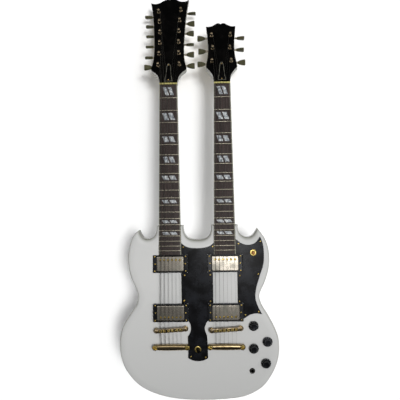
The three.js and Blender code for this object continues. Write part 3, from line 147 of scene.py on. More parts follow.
class Graph:
    def __init__(self, tree):
        self.tree = tree

    def add(self, kind, settings=None, values=None, out=0):
        node = self.tree.nodes.new(kind)
        for key, value in (settings or {}).items():
            if key == "stops":
                ramp = node.color_ramp
                while len(ramp.elements) < len(value):
                    ramp.elements.new(0.5)
                for stop, (place, tone) in zip(ramp.elements, value):
                    stop.position = place
                    stop.color = (*tone, 1)
            else:
                setattr(node, key, value)
        for key, value in (values or {}).items():
            if isinstance(value, Wire):
                self.tree.links.new(value.socket, node.inputs[key])
            else:
                node.inputs[key].default_value = value
        return Wire(self, node.outputs[out]) if len(node.outputs) else None

    def mix(self, factor, first, second):
        tones = [t if isinstance(t, Wire) else (*t, 1) for t in (first, second)]
        return self.add("ShaderNodeMix", {"data_type": "RGBA"},
                        {0: factor, 6: tones[0], 7: tones[1]}, out=2)

    def noise(self, place, scale, detail=4, roughness=0.55):
        return self.add("ShaderNodeTexNoise", {},
                        {"Vector": place, "Scale": scale, "Detail": detail, "Roughness": roughness})

    def spread(self, value, low, high, toLow=0.0, toHigh=1.0):
        return self.add("ShaderNodeMapRange", {"clamp": True},
                        {0: value, 1: low, 2: high, 3: toLow, 4: toHigh})

    def stretched(self, stretch=(1, 1, 1), lean=(0, 0, 0)):
        place = self.add("ShaderNodeTexCoord", out="Object")
        return self.add("ShaderNodeMapping", {}, {"Vector": place, "Scale": stretch, "Rotation": lean})

    def axis(self, vector, index):
        return self.add("ShaderNodeSeparateXYZ", {}, {0: vector}, out=index)

    def bump(self, height, strength, distance):
        return self.add("ShaderNodeBump", {},
                        {"Height": height, "Strength": strength, "Distance": distance})


def material(name):
    made = bpy.data.materials.new(name)
    made.use_nodes = True
    made.node_tree.nodes.clear()
    return made, Graph(made.node_tree)


def finished(made, graph, values):
    shader = graph.add("ShaderNodeBsdfPrincipled", {}, values)
    graph.add("ShaderNodeOutputMaterial", {}, {"Surface": shader})
    return made


lacquerLook = {
    "body": ((0.505, 0.505, 0.496), (0.485, 0.487, 0.479)),
    # the neck's tones are the body's white lacquer painted darker: painted shade
    "neck": ((0.33, 0.33, 0.3), (0.29, 0.291, 0.262)),
    # the lower tone over its span is painted shade, darker towards the lower bout
    "lower": (0.402, 0.404, 0.398), "lowerShadeSpan": (0.11, -0.16),
    # the side tone between the front and back spans is painted shade on the body's walls
    "side": (0.23, 0.232, 0.2), "wallShadeFrontSpan": (-0.0398, -0.0352), "backSpan": (-0.001, -0.004),
    "clouds": 9, "smears": 22, "smearing": 0.04, "peel": 420, "peelHeight": 0.12,
    "gloss": 0.2, "shine": 0.2, "coat": 0.12, "coatGloss": 0.05,
}


def lacquerMaterial(name, sides):
    look = lacquerLook
    made, graph = material(name)
    place = graph.stretched()
    light, shade = look["body" if sides else "neck"]
    tone = graph.mix(graph.spread(graph.noise(place, look["clouds"], 3), 0.35, 0.65), shade, light)
    smears = graph.spread(graph.noise(place, look["smears"], 3), 0.4, 0.7)
    if sides:
        # painted shade: the lacquer is painted darker towards the lower bout, where less light falls, and on
        # the walls behind the rounded front edge, which stand in shade
        behind, height = graph.axis(place, 1), graph.axis(place, 2)
        tone = graph.mix(graph.spread(height, *look["lowerShadeSpan"]), tone, look["lower"])
        # painted shade: the walls between the front and back spans take the darker side tone
        wall = graph.spread(behind, *look["wallShadeFrontSpan"]) * graph.spread(behind, *look["backSpan"])
        tone = graph.mix(wall, tone, look["side"])
    return finished(made, graph, {
        "Base Color": tone,
        "Roughness": look["gloss"] + smears * look["smearing"],
        "Specular IOR Level": look["shine"],
        "Coat Weight": look["coat"],
        "Coat Roughness": look["coatGloss"],
        "Normal": graph.bump(graph.noise(place, look["peel"], 2), look["peelHeight"], 0.0001),
    })


blackLook = {
    "tone": (0.0026, 0.0026, 0.003), "dust": (0.013, 0.0145, 0.019), "dusting": 0.42, "haze": 26,
    "gloss": 0.2, "dulling": 0.2, "shine": 0.22, "film": 0.52, "filmGloss": 0.16,
    "filmTint": (0.8, 0.87, 1, 1), "scratches": (900, 900, 35), "scratchHeight": 0.06,
}


def blackMaterial():
    look = blackLook
    made, graph = material("black_plastic")
    haze = graph.spread(graph.noise(graph.stretched(), look["haze"], 6, 0.65), 0.42, 0.72)
    scratches = graph.noise(graph.stretched(look["scratches"], (0, 0.6, 0)), 1, 2)
    return finished(made, graph, {
        "Base Color": graph.mix(haze * look["dusting"], look["tone"], look["dust"]),
        "Roughness": look["gloss"] + haze * look["dulling"],
        "Specular IOR Level": look["shine"],
        "Coat Weight": haze * look["film"],
        "Coat Roughness": look["filmGloss"],
        "Coat Tint": look["filmTint"],
        "Normal": graph.bump(scratches, look["scratchHeight"], 0.00005),
    })


headplateLook = {
    "tone": (0.0007, 0.0007, 0.0007), "worn": (0.002, 0.0018, 0.0016), "haze": 30, "gloss": 0.2,
    "dulling": 0.15, "shine": 0.04, "peel": 380, "peelHeight": 0.08,
}


def headplateMaterial():
    look = headplateLook
    made, graph = material("headplate_black")
    place = graph.stretched()
    haze = graph.spread(graph.noise(place, look["haze"], 5), 0.45, 0.7)
    return finished(made, graph, {
        "Base Color": graph.mix(haze, look["tone"], look["worn"]),
        "Roughness": look["gloss"] + haze * look["dulling"],
        "Specular IOR Level": look["shine"],
        "Normal": graph.bump(graph.noise(place, look["peel"], 2), look["peelHeight"], 0.0001),
    })


rosewoodLook = {
    "dark": (0.008, 0.005, 0.0045), "middle": (0.026, 0.018, 0.016), "light": (0.07, 0.047, 0.041),
    "grain": (310, 310, 9), "pores": (2170, 2170, 144), "bands": (95, 95, 4), "banding": 0.35,
    "gloss": 0.3, "dulling": 0.25, "shine": 0.36, "grainHeight": 0.3,
}


def rosewoodMaterial():
    look = rosewoodLook
    made, graph = material("rosewood")
    grain = graph.noise(graph.stretched(look["grain"]), 1, 5, 0.7)
    pores = graph.noise(graph.stretched(look["pores"]), 1, 2)
    bands = graph.noise(graph.stretched(look["bands"]), 1, 3)
    stops = [(0.3, look["dark"]), (0.5, look["middle"]), (0.74, look["light"])]
    streaks = graph.add("ShaderNodeValToRGB", {"stops": stops},
                        {0: grain * (1 - look["banding"]) + bands * look["banding"]})
    holes = graph.spread(pores, 0.56, 0.68)
    return finished(made, graph, {
        "Base Color": graph.mix(holes * 0.6, streaks, look["dark"]),
        "Roughness": look["gloss"] + grain * look["dulling"],
        "Specular IOR Level": look["shine"],
        "Normal": graph.bump(grain - holes, look["grainHeight"], 0.00012),
    })


metalLook = {"brushing": (240, 1300, 1300), "dulling": 0.14, "shadeSpan": (0.622, 0.634)}
metals = {
    # one gold plating in lighter and darker copies, partly the plating's own wear: the bright ring gold is
    # partly painted highlight on saddles, screws and poles; the darker post and bar golds are partly painted
    # shade on bridge bars, tuner posts and tailpieces
    "gold": {"name": "gold_metal", "light": (0.76, 0.58, 0.29), "worn": (0.42, 0.3, 0.13), "gloss": 0.1},
    "cover": {"name": "cover_metal", "light": (0.66, 0.6, 0.51), "worn": (0.36, 0.345, 0.29),
              "gloss": 0.22, "spots": 52, "lines": 0.01},
    "barGold": {"name": "bar_gold", "light": (0.49, 0.38, 0.21), "worn": (0.27, 0.2, 0.1), "gloss": 0.1},
    "brightGold": {"name": "ring_gold", "light": (0.95, 0.74, 0.26), "worn": (0.62, 0.44, 0.12),
                   "gloss": 0.2},
    "shadedGold": {"name": "post_gold", "light": (0.5, 0.4, 0.27), "worn": (0.2, 0.16, 0.1), "gloss": 0.2},
    # the string steel's darker tone above the nuts is painted shade
    "steel": {"name": "string_steel", "light": (0.13, 0.126, 0.113), "worn": (0.07, 0.067, 0.057),
              "gloss": 0.3, "spots": 200, "paintedHeadShade": (0.024, 0.023, 0.02)},
    "fretwire": {"name": "fret_metal", "light": (0.68, 0.63, 0.5), "worn": (0.46, 0.42, 0.32),
                 "gloss": 0.26, "spots": 90},
}


def metalMaterial(name, light, worn, gloss, spots=60, paintedHeadShade=None, lines=0.05):
    made, graph = material(name)
    place = graph.stretched()
    wear = graph.spread(graph.noise(place, spots, 6, 0.65), 0.42, 0.68)
    brushed = graph.noise(graph.stretched(metalLook["brushing"]), 1, 2)
    tone = graph.mix(wear, light, worn)
    if paintedHeadShade:
        # painted shade: the same metal is painted darker above the nuts, as if in the shade of the heads
        tone = graph.mix(graph.spread(graph.axis(place, 2), *metalLook["shadeSpan"]), tone, paintedHeadShade)
    return finished(made, graph, {
        "Base Color": tone,
        "Metallic": 1.0,
        "Roughness": gloss + wear * metalLook["dulling"],
        "Normal": graph.bump(brushed * lines, 1.0, 0.001),
    })


pearlLook = {
    "tones": [(0.25, (0.11, 0.12, 0.14)), (0.45, (0.25, 0.27, 0.29)), (0.75, (0.52, 0.54, 0.54))],
    "flakes": 260, "shine": 330, "gloss": 0.16, "dulling": 0.18, "flakeHeight": 0.15,
}


def pearlMaterial():
    look = pearlLook
    made, graph = material("pearl_inlay")
    flakes = graph.add("ShaderNodeTexVoronoi", {},
                       {"Vector": graph.stretched(), "Scale": look["flakes"]}, out="Color")
    shine = graph.noise(graph.stretched((1, 1, 0.6), (0, 0.5, 0)), look["shine"], 4)
    cell = graph.add("ShaderNodeSeparateColor", {}, {0: flakes})
    tone = graph.add("ShaderNodeValToRGB", {"stops": look["tones"]}, {0: cell * 0.45 + shine * 0.6})
    return finished(made, graph, {
        "Base Color": tone,
        "Roughness": look["gloss"] + shine * look["dulling"],
        "Normal": graph.bump(cell, look["flakeHeight"], 0.0001),
    })


plasticLook = {"fine": 900, "fineHeight": 0.1, "dulling": 0.12, "depth": 0.002}
plastics = {
    "bone": {"name": "nut_bone", "light": (0.52, 0.47, 0.17), "shade": (0.36, 0.32, 0.1), "gloss": 0.3,
             "veins": 90},
    # aged cream, painted darker for the shade along the board's edges: partly its own tone, partly painted
    # shade
    "binding": {"name": "binding_cream", "light": (0.19, 0.186, 0.15), "shade": (0.12, 0.118, 0.09),
                "gloss": 0.35, "veins": 70},
    "olive": {"name": "olive_key", "light": (0.056, 0.053, 0.024), "shade": (0.032, 0.031, 0.013),
              "gloss": 0.3, "veins": 60, "milky": 0.1, "shine": 0.3},
    "amber": {"name": "amber_tip", "light": (0.42, 0.2, 0.05), "shade": (0.22, 0.09, 0.02),
              "gloss": 0.16, "veins": 110, "milky": 0.2},
    "white": {"name": "number_white", "light": (0.62, 0.62, 0.6), "shade": (0.45, 0.45, 0.43),
              "gloss": 0.4},
}


def plasticMaterial(name, light, shade, gloss, veins=55, milky=0.0, shine=0.5):
    made, graph = material(name)
    place = graph.stretched()
    swirl = graph.spread(graph.noise(place, veins, 5, 0.6), 0.36, 0.66)
    return finished(made, graph, {
        "Base Color": graph.mix(swirl, shade, light),
        "Roughness": gloss + swirl * plasticLook["dulling"],
        "Specular IOR Level": shine,
        "Subsurface Weight": milky,
        "Subsurface Scale": plasticLook["depth"],
        "Normal": graph.bump(graph.noise(place, plasticLook["fine"], 2), plasticLook["fineHeight"], 0.00005),
    })


# Each look has its material and the name of a slot, which nothing in the script reads.
looks = {
    # the necks' lacquer is a darker copy of the body's: painted shade
    "lacquer": (lacquerMaterial("white_lacquer", False), "white_lacquer"),
    "bodyLacquerPaintedShade": (lacquerMaterial("body_lacquer_painted_shade", True), "white_lacquer"),
    "black": (blackMaterial(), "black_plastic"),
    "headplate": (headplateMaterial(), "black_plastic"),
    "rosewood": (rosewoodMaterial(), "rosewood"),
    "pearl": (pearlMaterial(), "nut_bone"),
    **{look: (metalMaterial(**values), "gold_metal") for look, values in metals.items()},
    **{look: (plasticMaterial(**values), values["name"] if look in ("olive", "amber") else "nut_bone")
       for look, values in plastics.items()},
}
print("finishes:", len(looks))


# Shells are a list of points and a list of faces.
def moved(shell, place):
    points, faces = shell
    return [place @ Vector(point) for point in points], faces


def merged(*shells):
    points, faces = [], []
    for shellPoints, shellFaces in shells:
        start = len(points)
        points += list(shellPoints)
        faces += [tuple(start + i for i in corners) for corners in shellFaces]
    return points, faces


def at(x=0.0, y=0.0, z=0.0):
    return Matrix.Translation((x, y, z))


def turned(angle, axis="Z"):
    return Matrix.Rotation(angle, 4, axis)


def loft(rings, capped=True):
    count = len(rings[0])
    points = [point for ring in rings for point in ring]
    faces = []
    for row in range(len(rings) - 1):
        for i in range(count):
            here = row * count + i
            beside = row * count + (i + 1) % count
            faces.append((here, beside, beside + count, here + count))
    if capped:
        faces.append(tuple(reversed(range(count))))
        faces.append(tuple(range(len(points) - count, len(points))))
    return points, faces


def lathe(profile, sides=32, flutes=0, depth=0.0, fluted=()):
    # a profile of radius and height round z; the rows named in fluted are drawn in by the flutes
    rings = []
    for row, (radius, height) in enumerate(profile):
        ring = []
        for i in range(sides):
            angle = turn * i / sides
            pull = depth * (0.5 - 0.5 * math.cos(flutes * angle)) if row in fluted else 0
            reach = max(radius, 0.001) - pull
            ring.append((reach * math.cos(angle), reach * math.sin(angle), height))
        rings.append(ring)
    return loft(rings)


def pierced(profile, sides, *flutes):
    # a lathe whose last ring meets its first, round a hole
    points, faces = lathe(profile, sides, *flutes)
    last = (len(profile) - 1) * sides
    closing = [(last + i, last + (i + 1) % sides, (i + 1) % sides, i) for i in range(sides)]
    return points, [corners for corners in faces if len(corners) == 4] + closing


def rod(radius, low, high, sides=20):
    return lathe([(radius, low), (radius, high)], sides)


def repeated(shell, places):
    return merged(*[moved(shell, place) for place in places])


def roundBox(length, width, radius, perCorner=6):
    points = []
    for corner, (sx, sy) in enumerate([(1, 1), (-1, 1), (-1, -1), (1, -1)]):
        for i in range(perCorner + 1):
            angle = turn / 4 * (corner + i / perCorner)
            points.append(Vector((sx * (length / 2 - radius) + radius * math.cos(angle),
                                  sy * (width / 2 - radius) + radius * math.sin(angle))))
    return points


def circle(radius, x=0, y=0, sides=32):
    return [Vector((x + radius * math.cos(turn * i / sides), y + radius * math.sin(turn * i / sides)))
            for i in range(sides)]


def signedArea(loop):
    return sum(a.x * b.y - b.x * a.y for a, b in zip(loop, loop[1:] + loop[:1])) / 2


def wound(loop, forwards):
    return loop if (signedArea(loop) > 0) == forwards else loop[::-1]


def inset(loop, depth):
    # moves an outline to its left by the depth and draws together what would turn over
    count = len(loop)
    result = []
    for i, point in enumerate(loop):
        back = (point - loop[i - 1]).normalized()
        ahead = (loop[(i + 1) % count] - point).normalized()
        first, second = Vector((-back.y, back.x)), Vector((-ahead.y, ahead.x))
        result.append(point + (first + second) * (depth / max(1 + first.dot(second), 0.35)))
    for _ in range(8):
        shut = [(result[(i + 1) % count] - result[i]).dot(loop[(i + 1) % count] - loop[i]) < 1e-7
                for i in range(count)]
        if not any(shut) or all(shut):
            break
        start = shut.index(False) + 1
        run = []
        for k in range(start, start + count):
            i = k % count
            if shut[i]:
                run.append(i)
            elif run:
                members = run + [i]
                middle = sum((result[m] for m in members), Vector((0, 0))) / len(members)
                for m in members:
                    result[m] = middle
                run = []
    return result


def surrounds(loop, point):
    inside = False
    for a, b in zip(loop, loop[1:] + loop[:1]):
        if (a.y > point.y) != (b.y > point.y):
            if point.x < a.x + (point.y - a.y) * (b.x - a.x) / (b.y - a.y):
                inside = not inside
    return inside


def fillRegion(rows):
    # triangles that fill the region inside the first loop and outside the others, and the points
    # that crossing sides add
    points = [point for row in rows for point in row]
    edges = []
    start = 0
    for row in rows:
        edges += [(start + i, start + (i + 1) % len(row)) for i in range(len(row))]
        start += len(row)
    filled = delaunay_2d_cdt(points, edges, [], 1, 1e-6)
    extra, origin = [], []
    for point, ids in zip(filled[0], filled[3]):
        origin.append(ids[0] if ids else len(points) + len(extra))
        if not ids:
            extra.append(point)
    triangles = []
    for corners in filled[2]:
        middle = sum((filled[0][i] for i in corners), Vector((0, 0))) / 3
        if not any(surrounds(row, middle) for row in rows[1:]):
            triangles.append(tuple(origin[i] for i in corners))
    return triangles, extra


def plate(loops, low, high, radius=0.0, steps=3, lowRadius=0.0):
    # a flat piece with rounded rims: the first loop is its outline, the others are holes
    def rim(reach, level, way):
        angles = [turn / 4 * i / steps for i in range(steps + 1)] if reach else [0]
        return [(reach * (1 - math.cos(a)), level - way * reach * (1 - math.sin(a))) for a in angles]

    loops = [wound(loop, i == 0) for i, loop in enumerate(loops)]
    rows = rim(lowRadius, low, -1)[::-1] + rim(radius, high, 1)
    points, faces, firstRow, lastRow = [], [], [], []
    for loop in loops:
        rings = [[(*p, height) for p in inset(loop, depth)] for depth, height in rows]
        start = len(points)
        count = len(loop)
        points, faces = merged((points, faces), loft(rings, capped=False))
        firstRow += range(start, start + count)
        lastRow += range(start + count * (len(rows) - 1), start + count * len(rows))
    for row, reverse in ((lastRow, False), (firstRow, True)):
        flat, begin = [], 0
        for loop in loops:
            flat.append([Vector(points[i][:2]) for i in row[begin:begin + len(loop)]])
            begin += len(loop)
        triangles, extra = fillRegion(flat)
        height = points[row[0]][2]
        known = list(row) + list(range(len(points), len(points) + len(extra)))
        points += [(*point, height) for point in extra]
        for corners in triangles:
            ids = tuple(known[i] for i in corners)
            faces.append(ids[::-1] if reverse else ids)
    return points, faces


def block(length, width, low, high, x=0.0, y=0.0, radius=0.0):
    outline = roundBox(length, width, max(radius, 0.05), 3 if radius else 1)
    return moved(plate([outline], low, high, radius, 2), at(x, y))


def meshOf(shell, place=identity):
    points, faces = moved(shell, place)
    mesh = bpy.data.meshes.new("piece")
    mesh.from_pydata([tuple(point) for point in points], [], faces)
    shape = bmesh.new()
    shape.from_mesh(mesh)
    bmesh.ops.remove_doubles(shape, verts=shape.verts, dist=2e-6)
    bmesh.ops.recalc_face_normals(shape, faces=shape.faces)
    shape.to_mesh(mesh)
    shape.free()
    return mesh


def temporary(mesh):
    made = bpy.data.objects.new("temporary", mesh)
    bpy.context.scene.collection.objects.link(made)
    return made


def evaluated(made):
    bpy.context.view_layer.update()
    mesh = bpy.data.meshes.new_from_object(made.evaluated_get(bpy.context.evaluated_depsgraph_get()))
    bpy.data.objects.remove(made)
    return mesh


def combined(mesh, shell, place=identity, operation="DIFFERENCE"):
    made = temporary(mesh)
    tool = temporary(meshOf(shell, place))
    step = made.modifiers.new("combined", "BOOLEAN")
    step.operation = operation
    step.solver = "EXACT"
    step.object = tool
    result = evaluated(made)
    bpy.data.objects.remove(tool)
    return result


def joined(meshes):
    shape = bmesh.new()
    for mesh in meshes:
        shape.from_mesh(mesh)
    result = bpy.data.meshes.new("joined")
    shape.to_mesh(result)
    shape.free()
    return result


def piece(name, shell, place, look, body="instrument", replaces=(), sharp=32):
    mesh = shell if isinstance(shell, bpy.types.Mesh) else meshOf(shell, place)
    mesh.materials.clear()
    mesh.materials.append(looks[look][0])
    mesh.shade_smooth()
    mesh.set_sharp_from_angle(angle=sharp * degree)
    made = bpy.data.objects.new(name, mesh)
    bpy.context.scene.collection.objects.link(made)
    even = made.modifiers.new("even", "WEIGHTED_NORMAL")
    even.keep_sharp = True
    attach(made, body)
    if replaces:
        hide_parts(*replaces)


# Outlines are read from the solids that the pieces stand for, and their facets are rounded.
def nodeShape(name, place):
    shape = bmesh.new()
    shape.from_mesh(nodes[name].data)
    bmesh.ops.transform(shape, matrix=place.inverted(), verts=shape.verts)
    bmesh.ops.remove_doubles(shape, verts=shape.verts, dist=0.003)
    return shape


def chained(rim):
    loops = []
    while rim:
        edge = rim.pop()
        first, vert = edge.verts
        loop = [first]
        while vert != first:
            loop.append(vert)
            edge = next(e for e in vert.link_edges if e in rim)
            rim.discard(edge)
            vert = edge.other_vert(vert)
        loops.append([Vector((v.co.x, v.co.y)) for v in loop])
    return sorted(loops, key=lambda loop: -abs(signedArea(loop)))


def faceLoops(name, place, height):
    shape = nodeShape(name, place)
    flat = {f for f in shape.faces if all(abs(v.co.z - height) < 0.02 for v in f.verts)}
    rim = {e for e in shape.edges if sum(f in flat for f in e.link_faces) == 1}
    return chained(rim)


def levelLoop(name, place, height):
    shape = nodeShape(name, place)
    rim = {e for e in shape.edges if all(abs(v.co.z - height) < 0.02 for v in e.verts)}
    return chained(rim)[0]


def smoothed(loop, step=2.0, corner=34):
    # a finer outline through the same points, straight where a side is long
    count = len(loop)
    sides = [loop[(i + 1) % count] - loop[i] for i in range(count)]
    leads = []
    for i in range(count):
        back, ahead = sides[i - 1], sides[i]
        longer = max(back.length, ahead.length)
        if back.angle(ahead) > corner * degree:
            leads.append(None)
        elif longer > 2.6 * min(back.length, ahead.length):
            leads.append((back if back.length == longer else ahead).normalized())
        else:
            leads.append((back.normalized() * ahead.length + ahead.normalized() * back.length).normalized())
    result = []
    for i in range(count):
        start, side = loop[i], sides[i]
        span = side.length
        line = side.normalized()
        first, last = leads[i], leads[(i + 1) % count]
        mirror = lambda lead: 2 * line.dot(lead) * line - lead
        leave = first or (mirror(last) if last else line)
        arrive = last or (mirror(first) if first else line)
        cuts = max(1, math.ceil(span / step))
        for k in range(cuts):
            t = k / cuts
            result.append(start * (2 * t**3 - 3 * t**2 + 1) + leave * span * (t**3 - 2 * t**2 + t)
                          + loop[(i + 1) % count] * (3 * t**2 - 2 * t**3)
                          + arrive * span * (t**3 - t**2))
    return result


# Geometry Nodes: parts set on points, frets along a board and strings along their run.
def nodeTree(name, inputs):
    tree = bpy.data.node_groups.new(name, "GeometryNodeTree")
    tree.interface.new_socket("Geometry", in_out="INPUT", socket_type="NodeSocketGeometry")
    for label, kind in inputs:
        tree.interface.new_socket(label, in_out="INPUT", socket_type=kind)
    tree.interface.new_socket("Geometry", in_out="OUTPUT", socket_type="NodeSocketGeometry")
    graph = Graph(tree)
    entry = tree.nodes.new("NodeGroupInput")
    wires = {socket.name: Wire(graph, socket) for socket in entry.outputs if socket.name}
    return tree, graph, wires


def closeTree(graph, geometry, look):
    real = graph.add("GeometryNodeRealizeInstances", {}, {0: geometry})
    coloured = graph.add("GeometryNodeSetMaterial", {}, {"Geometry": real, "Material": look})
    graph.add("NodeGroupOutput", {}, {0: coloured})


def runTree(made, tree, values):
    step = made.modifiers.new("grown", "NODES")
    step.node_group = tree
    for item in tree.interface.items_tree:
        if item.in_out == "INPUT" and item.name in values:
            step[item.identifier] = values[item.name]
    return evaluated(made)


def makeScatterTree():
    tree, graph, wires = nodeTree("parts on points", [
        ("Part", "NodeSocketObject"), ("Size", "NodeSocketFloat"), ("Material", "NodeSocketMaterial")])
    part = graph.add("GeometryNodeObjectInfo", {}, {"Object": wires["Part"]}, out="Geometry")
    lean = graph.add("GeometryNodeInputNamedAttribute", {"data_type": "FLOAT_VECTOR"}, {"Name": "lean"})
    spin = graph.add("FunctionNodeEulerToRotation", {}, {0: lean})
    placed = graph.add("GeometryNodeInstanceOnPoints", {}, {
        "Points": wires["Geometry"], "Instance": part, "Rotation": spin, "Scale": wires["Size"]})
    closeTree(graph, placed, wires["Material"])
    return tree


scatterTree = makeScatterTree()


def scattered(name, shell, places, look):
    # one part, drawn in millimetres, set on every place
    template = temporary(meshOf(shell))
    points = bpy.data.meshes.new("places")
    points.from_pydata([tuple(place.translation) for place in places], [], [])
    lean = points.attributes.new("lean", "FLOAT_VECTOR", "POINT")
    for spot, place in zip(lean.data, places):
        spot.vector = place.to_euler()
    mesh = runTree(temporary(points), scatterTree,
                   {"Part": template, "Size": millimetre, "Material": looks[look][0]})
    bpy.data.objects.remove(template)
    piece(name, mesh, None, look)


def makeFretTree():
    tree, graph, wires = nodeTree("frets along a board", [
        ("Fret", "NodeSocketObject"), ("Count", "NodeSocketInt"), ("Scale Length", "NodeSocketFloat"),
        ("Nut Width", "NodeSocketFloat"), ("Widening", "NodeSocketFloat"),
        ("Crown Radius", "NodeSocketFloat"), ("Material", "NodeSocketMaterial")])
    line = graph.add("GeometryNodeMeshLine", {}, {"Count": wires["Count"], "Offset": (0, 0, 0)})
    number = graph.add("GeometryNodeInputIndex") + 1
    reach = wires["Scale Length"] * (1 - 2 ** (number / -12))
    place = graph.add("ShaderNodeCombineXYZ", {}, {"Y": reach * -1})
    row = graph.add("GeometryNodeSetPosition", {}, {"Geometry": line, "Position": place})
    width = wires["Nut Width"] + wires["Widening"] * reach
    wide = graph.add("ShaderNodeCombineXYZ", {}, {"X": width, "Y": 1.0, "Z": 1.0})
    fret = graph.add("GeometryNodeObjectInfo", {}, {"Object": wires["Fret"]}, out="Geometry")
    placed = graph.add("GeometryNodeInstanceOnPoints", {},
                       {"Points": row, "Instance": fret, "Scale": wide})
    real = graph.add("GeometryNodeRealizeInstances", {}, {0: placed})
    here = graph.add("GeometryNodeInputPosition")
    across = graph.axis(here, 0)
    radius = wires["Crown Radius"]
    square = radius * radius - across * across
    sag = graph.add("ShaderNodeMath", {"operation": "SQRT"}, {0: square}) - radius
    drop = graph.add("ShaderNodeCombineXYZ", {}, {"Z": sag})
    crowned = graph.add("GeometryNodeSetPosition", {}, {"Geometry": real, "Offset": drop})
    closeTree(graph, crowned, wires["Material"])
    return tree


def makeStringTree():
    tree, graph, wires = nodeTree("string along its run", [
        ("Radius", "NodeSocketFloat"), ("Sides", "NodeSocketInt"), ("Material", "NodeSocketMaterial")])
    curve = graph.add("GeometryNodeMeshToCurve", {}, {"Mesh": wires["Geometry"]})
    section = graph.add("GeometryNodeCurvePrimitiveCircle", {},
                        {"Resolution": wires["Sides"], "Radius": wires["Radius"]})
    tube = graph.add("GeometryNodeCurveToMesh", {},
                     {"Curve": curve, "Profile Curve": section, "Fill Caps": True})
    closeTree(graph, tube, wires["Material"])
    return tree


fretTree = makeFretTree()
stringTree = makeStringTree()
print("node trees: 3")

# Where the fittings stand on the face.
fittings = {
    "pickups": [{"name": "neck", "y": 164.2, "poles": 10.2}, {"name": "bridge", "y": 40.6, "poles": -10.2}],
    "knobs": {"volume_upper": (140, 4.4), "tone_upper": (174.5, -36), "volume_lower": (139.5, -53),
              "tone_lower": (170, -90.5)},
    "switches": {"neck": (-2.5, -53.5), "pickup": (141.5, 190.3)}, "jack": (135, -109.5),
    "tail": -46.6, "studSpread": 82, "pickupToString": 3, "poleRise": 0.7,
}


def saddleHeight():
    point = Vector((0, -layout["scale"], layout["stringAtSaddle"]))
    return (bodyFrame.inverted() @ neckFrame(necks[0]) @ point).z


def stringHeight(y):
    nutPoint = bodyFrame.inverted() @ neckFrame(necks[0]) @ Vector((0, 0, layout["stringAtNut"]))
    saddle = saddleHeight()
    return saddle + (nutPoint.z - saddle) * y / nutPoint.y


def coverTop(pickup):
    highest = stringHeight(pickup["y"] + abs(pickup["poles"]))
    return highest - fittings["pickupToString"] - fittings["poleRise"]


# The body: an outline with round edges, slopes into the three cutaways, and its pockets.
bodyShape = {
    "outlineStep": 2.2, "edgeSteps": 8, "rowSlack": 0.03, "grid": 16, "gridMargin": 3,
    "softWidth": 20, "softDepth": 4.2, "softSteps": 8,
    "slopeWidth": 13, "slopeDepth": 3.2, "slopeSoftness": 0.16, "slopeReach": 1.6,
    "hornFade": [0, 0.25, 0.6, 0.9, 1, 1, 0.9, 0.7, 0.4],
    "middleFade": [0, 0, 0.35, 0.8, 1, 1, 1, 0.8, 0.35, 0, 0],
    "hornShift": (-5.3, -4.2), "hornReach": (10, 48), "hornEdge": -130, "hornTip": (-140, 0.3),
    "cutawayCorner": 40 * degree, "cutawayLevels": (180, 250), "middleWidth": 20,
}


def nearestOn(points, line, closed):
    # distance from every point to a run of short sides, and how far along the nearest place lies
    starts = np.array(line if closed else line[:-1], float)
    ends = np.array(line[1:] + line[:1] if closed else line[1:], float)
    spans = ends - starts
    lengths = (spans**2).sum(1)
    best = np.full(len(points), 1e9)
    along = np.zeros(len(points))
    for i in range(len(starts)):
        away = points - starts[i]
        share = np.clip(away @ spans[i] / lengths[i], 0, 1)
        gap = np.hypot(*(away - share[:, None] * spans[i]).T)
        nearer = gap < best
        best[nearer] = gap[nearer]
        along[nearer] = (i + share[nearer]) / len(starts)
    return best, along


def bodyShell():
    shape = bodyShape
    radius = layout["edgeRound"]
    level = levelLoop("body", bodyFrame, radius)
    outline = eased(smoothed(wound(level, True), shape["outlineStep"]), level)
    count = len(outline)
    line = [tuple(point) for point in outline]
    edgeSteps, softSteps = shape["edgeSteps"], shape["softSteps"]
    depths = [radius * (1 - math.cos(turn / 4 * k / edgeSteps)) for k in range(1, edgeSteps + 1)]
    depths += [radius + (shape["softWidth"] - radius) * k / softSteps for k in range(1, softSteps + 1)]
    inner = []
    for depth in depths:
        row = np.array([tuple(point) for point in inset(outline, depth)])
        gaps = nearestOn(row, line, True)[0]
        inner += [tuple(point) for point, gap in zip(row, gaps) if abs(gap - depth) < shape["rowSlack"]]
    spans = zip(np.min(line, 0), np.max(line, 0))
    columns, rows = (np.arange(low, high, shape["grid"]) for low, high in spans)
    grid = np.array([(x, y) for x in columns for y in rows])
    far = nearestOn(grid, line, True)[0] > shape["softWidth"] + shape["gridMargin"]
    inner += [tuple(point) for point in grid[far]]
    flat = [Vector(point) for point in line + inner]
    edges = [(i, (i + 1) % count) for i in range(count)]
    filled = delaunay_2d_cdt(flat, edges, [], 1, 1e-7)
    origin = [ids[0] for ids in filled[3]]
    triangles = [tuple(origin[i] for i in corners) for corners in filled[2]]
    points = np.array([tuple(point) for point in flat])
    depth = nearestOn(points, line, True)[0]
    depth[:count] = 0
    inside = np.clip(radius - depth, 0, radius)
    rounding = radius - np.sqrt(radius**2 - inside**2)
    softness = np.clip(1 - depth / shape["softWidth"], 0, 1)
    top = face - rounding - shape["softDepth"] * softness**2
    for run, fade in cutawayRuns(outline):
        gap, along = nearestOn(points, run, False)
        share = np.interp(along * (len(fade) - 1), range(len(fade)), fade)
        rise = 1 - gap / np.maximum(shape["slopeWidth"] * share, 0.01)
        rise = (rise + np.sqrt(rise**2 + shape["slopeSoftness"]**2)) / 2
        rise[gap > shape["slopeWidth"] * shape["slopeReach"]] = 0
        top -= shape["slopeDepth"] * share * np.minimum(rise, 1)
    size = len(points)
    shell = [(x, y, z) for (x, y), z in zip(points, top)]
    shell += [(x, y, z) for (x, y), z in zip(points, rounding)]
    faces = list(triangles)
    faces += [tuple(size + i for i in reversed(corners)) for corners in triangles]
    for i in range(count):
        beside = (i + 1) % count
        faces.append((size + i, size + beside, beside, i))
    return shell, faces


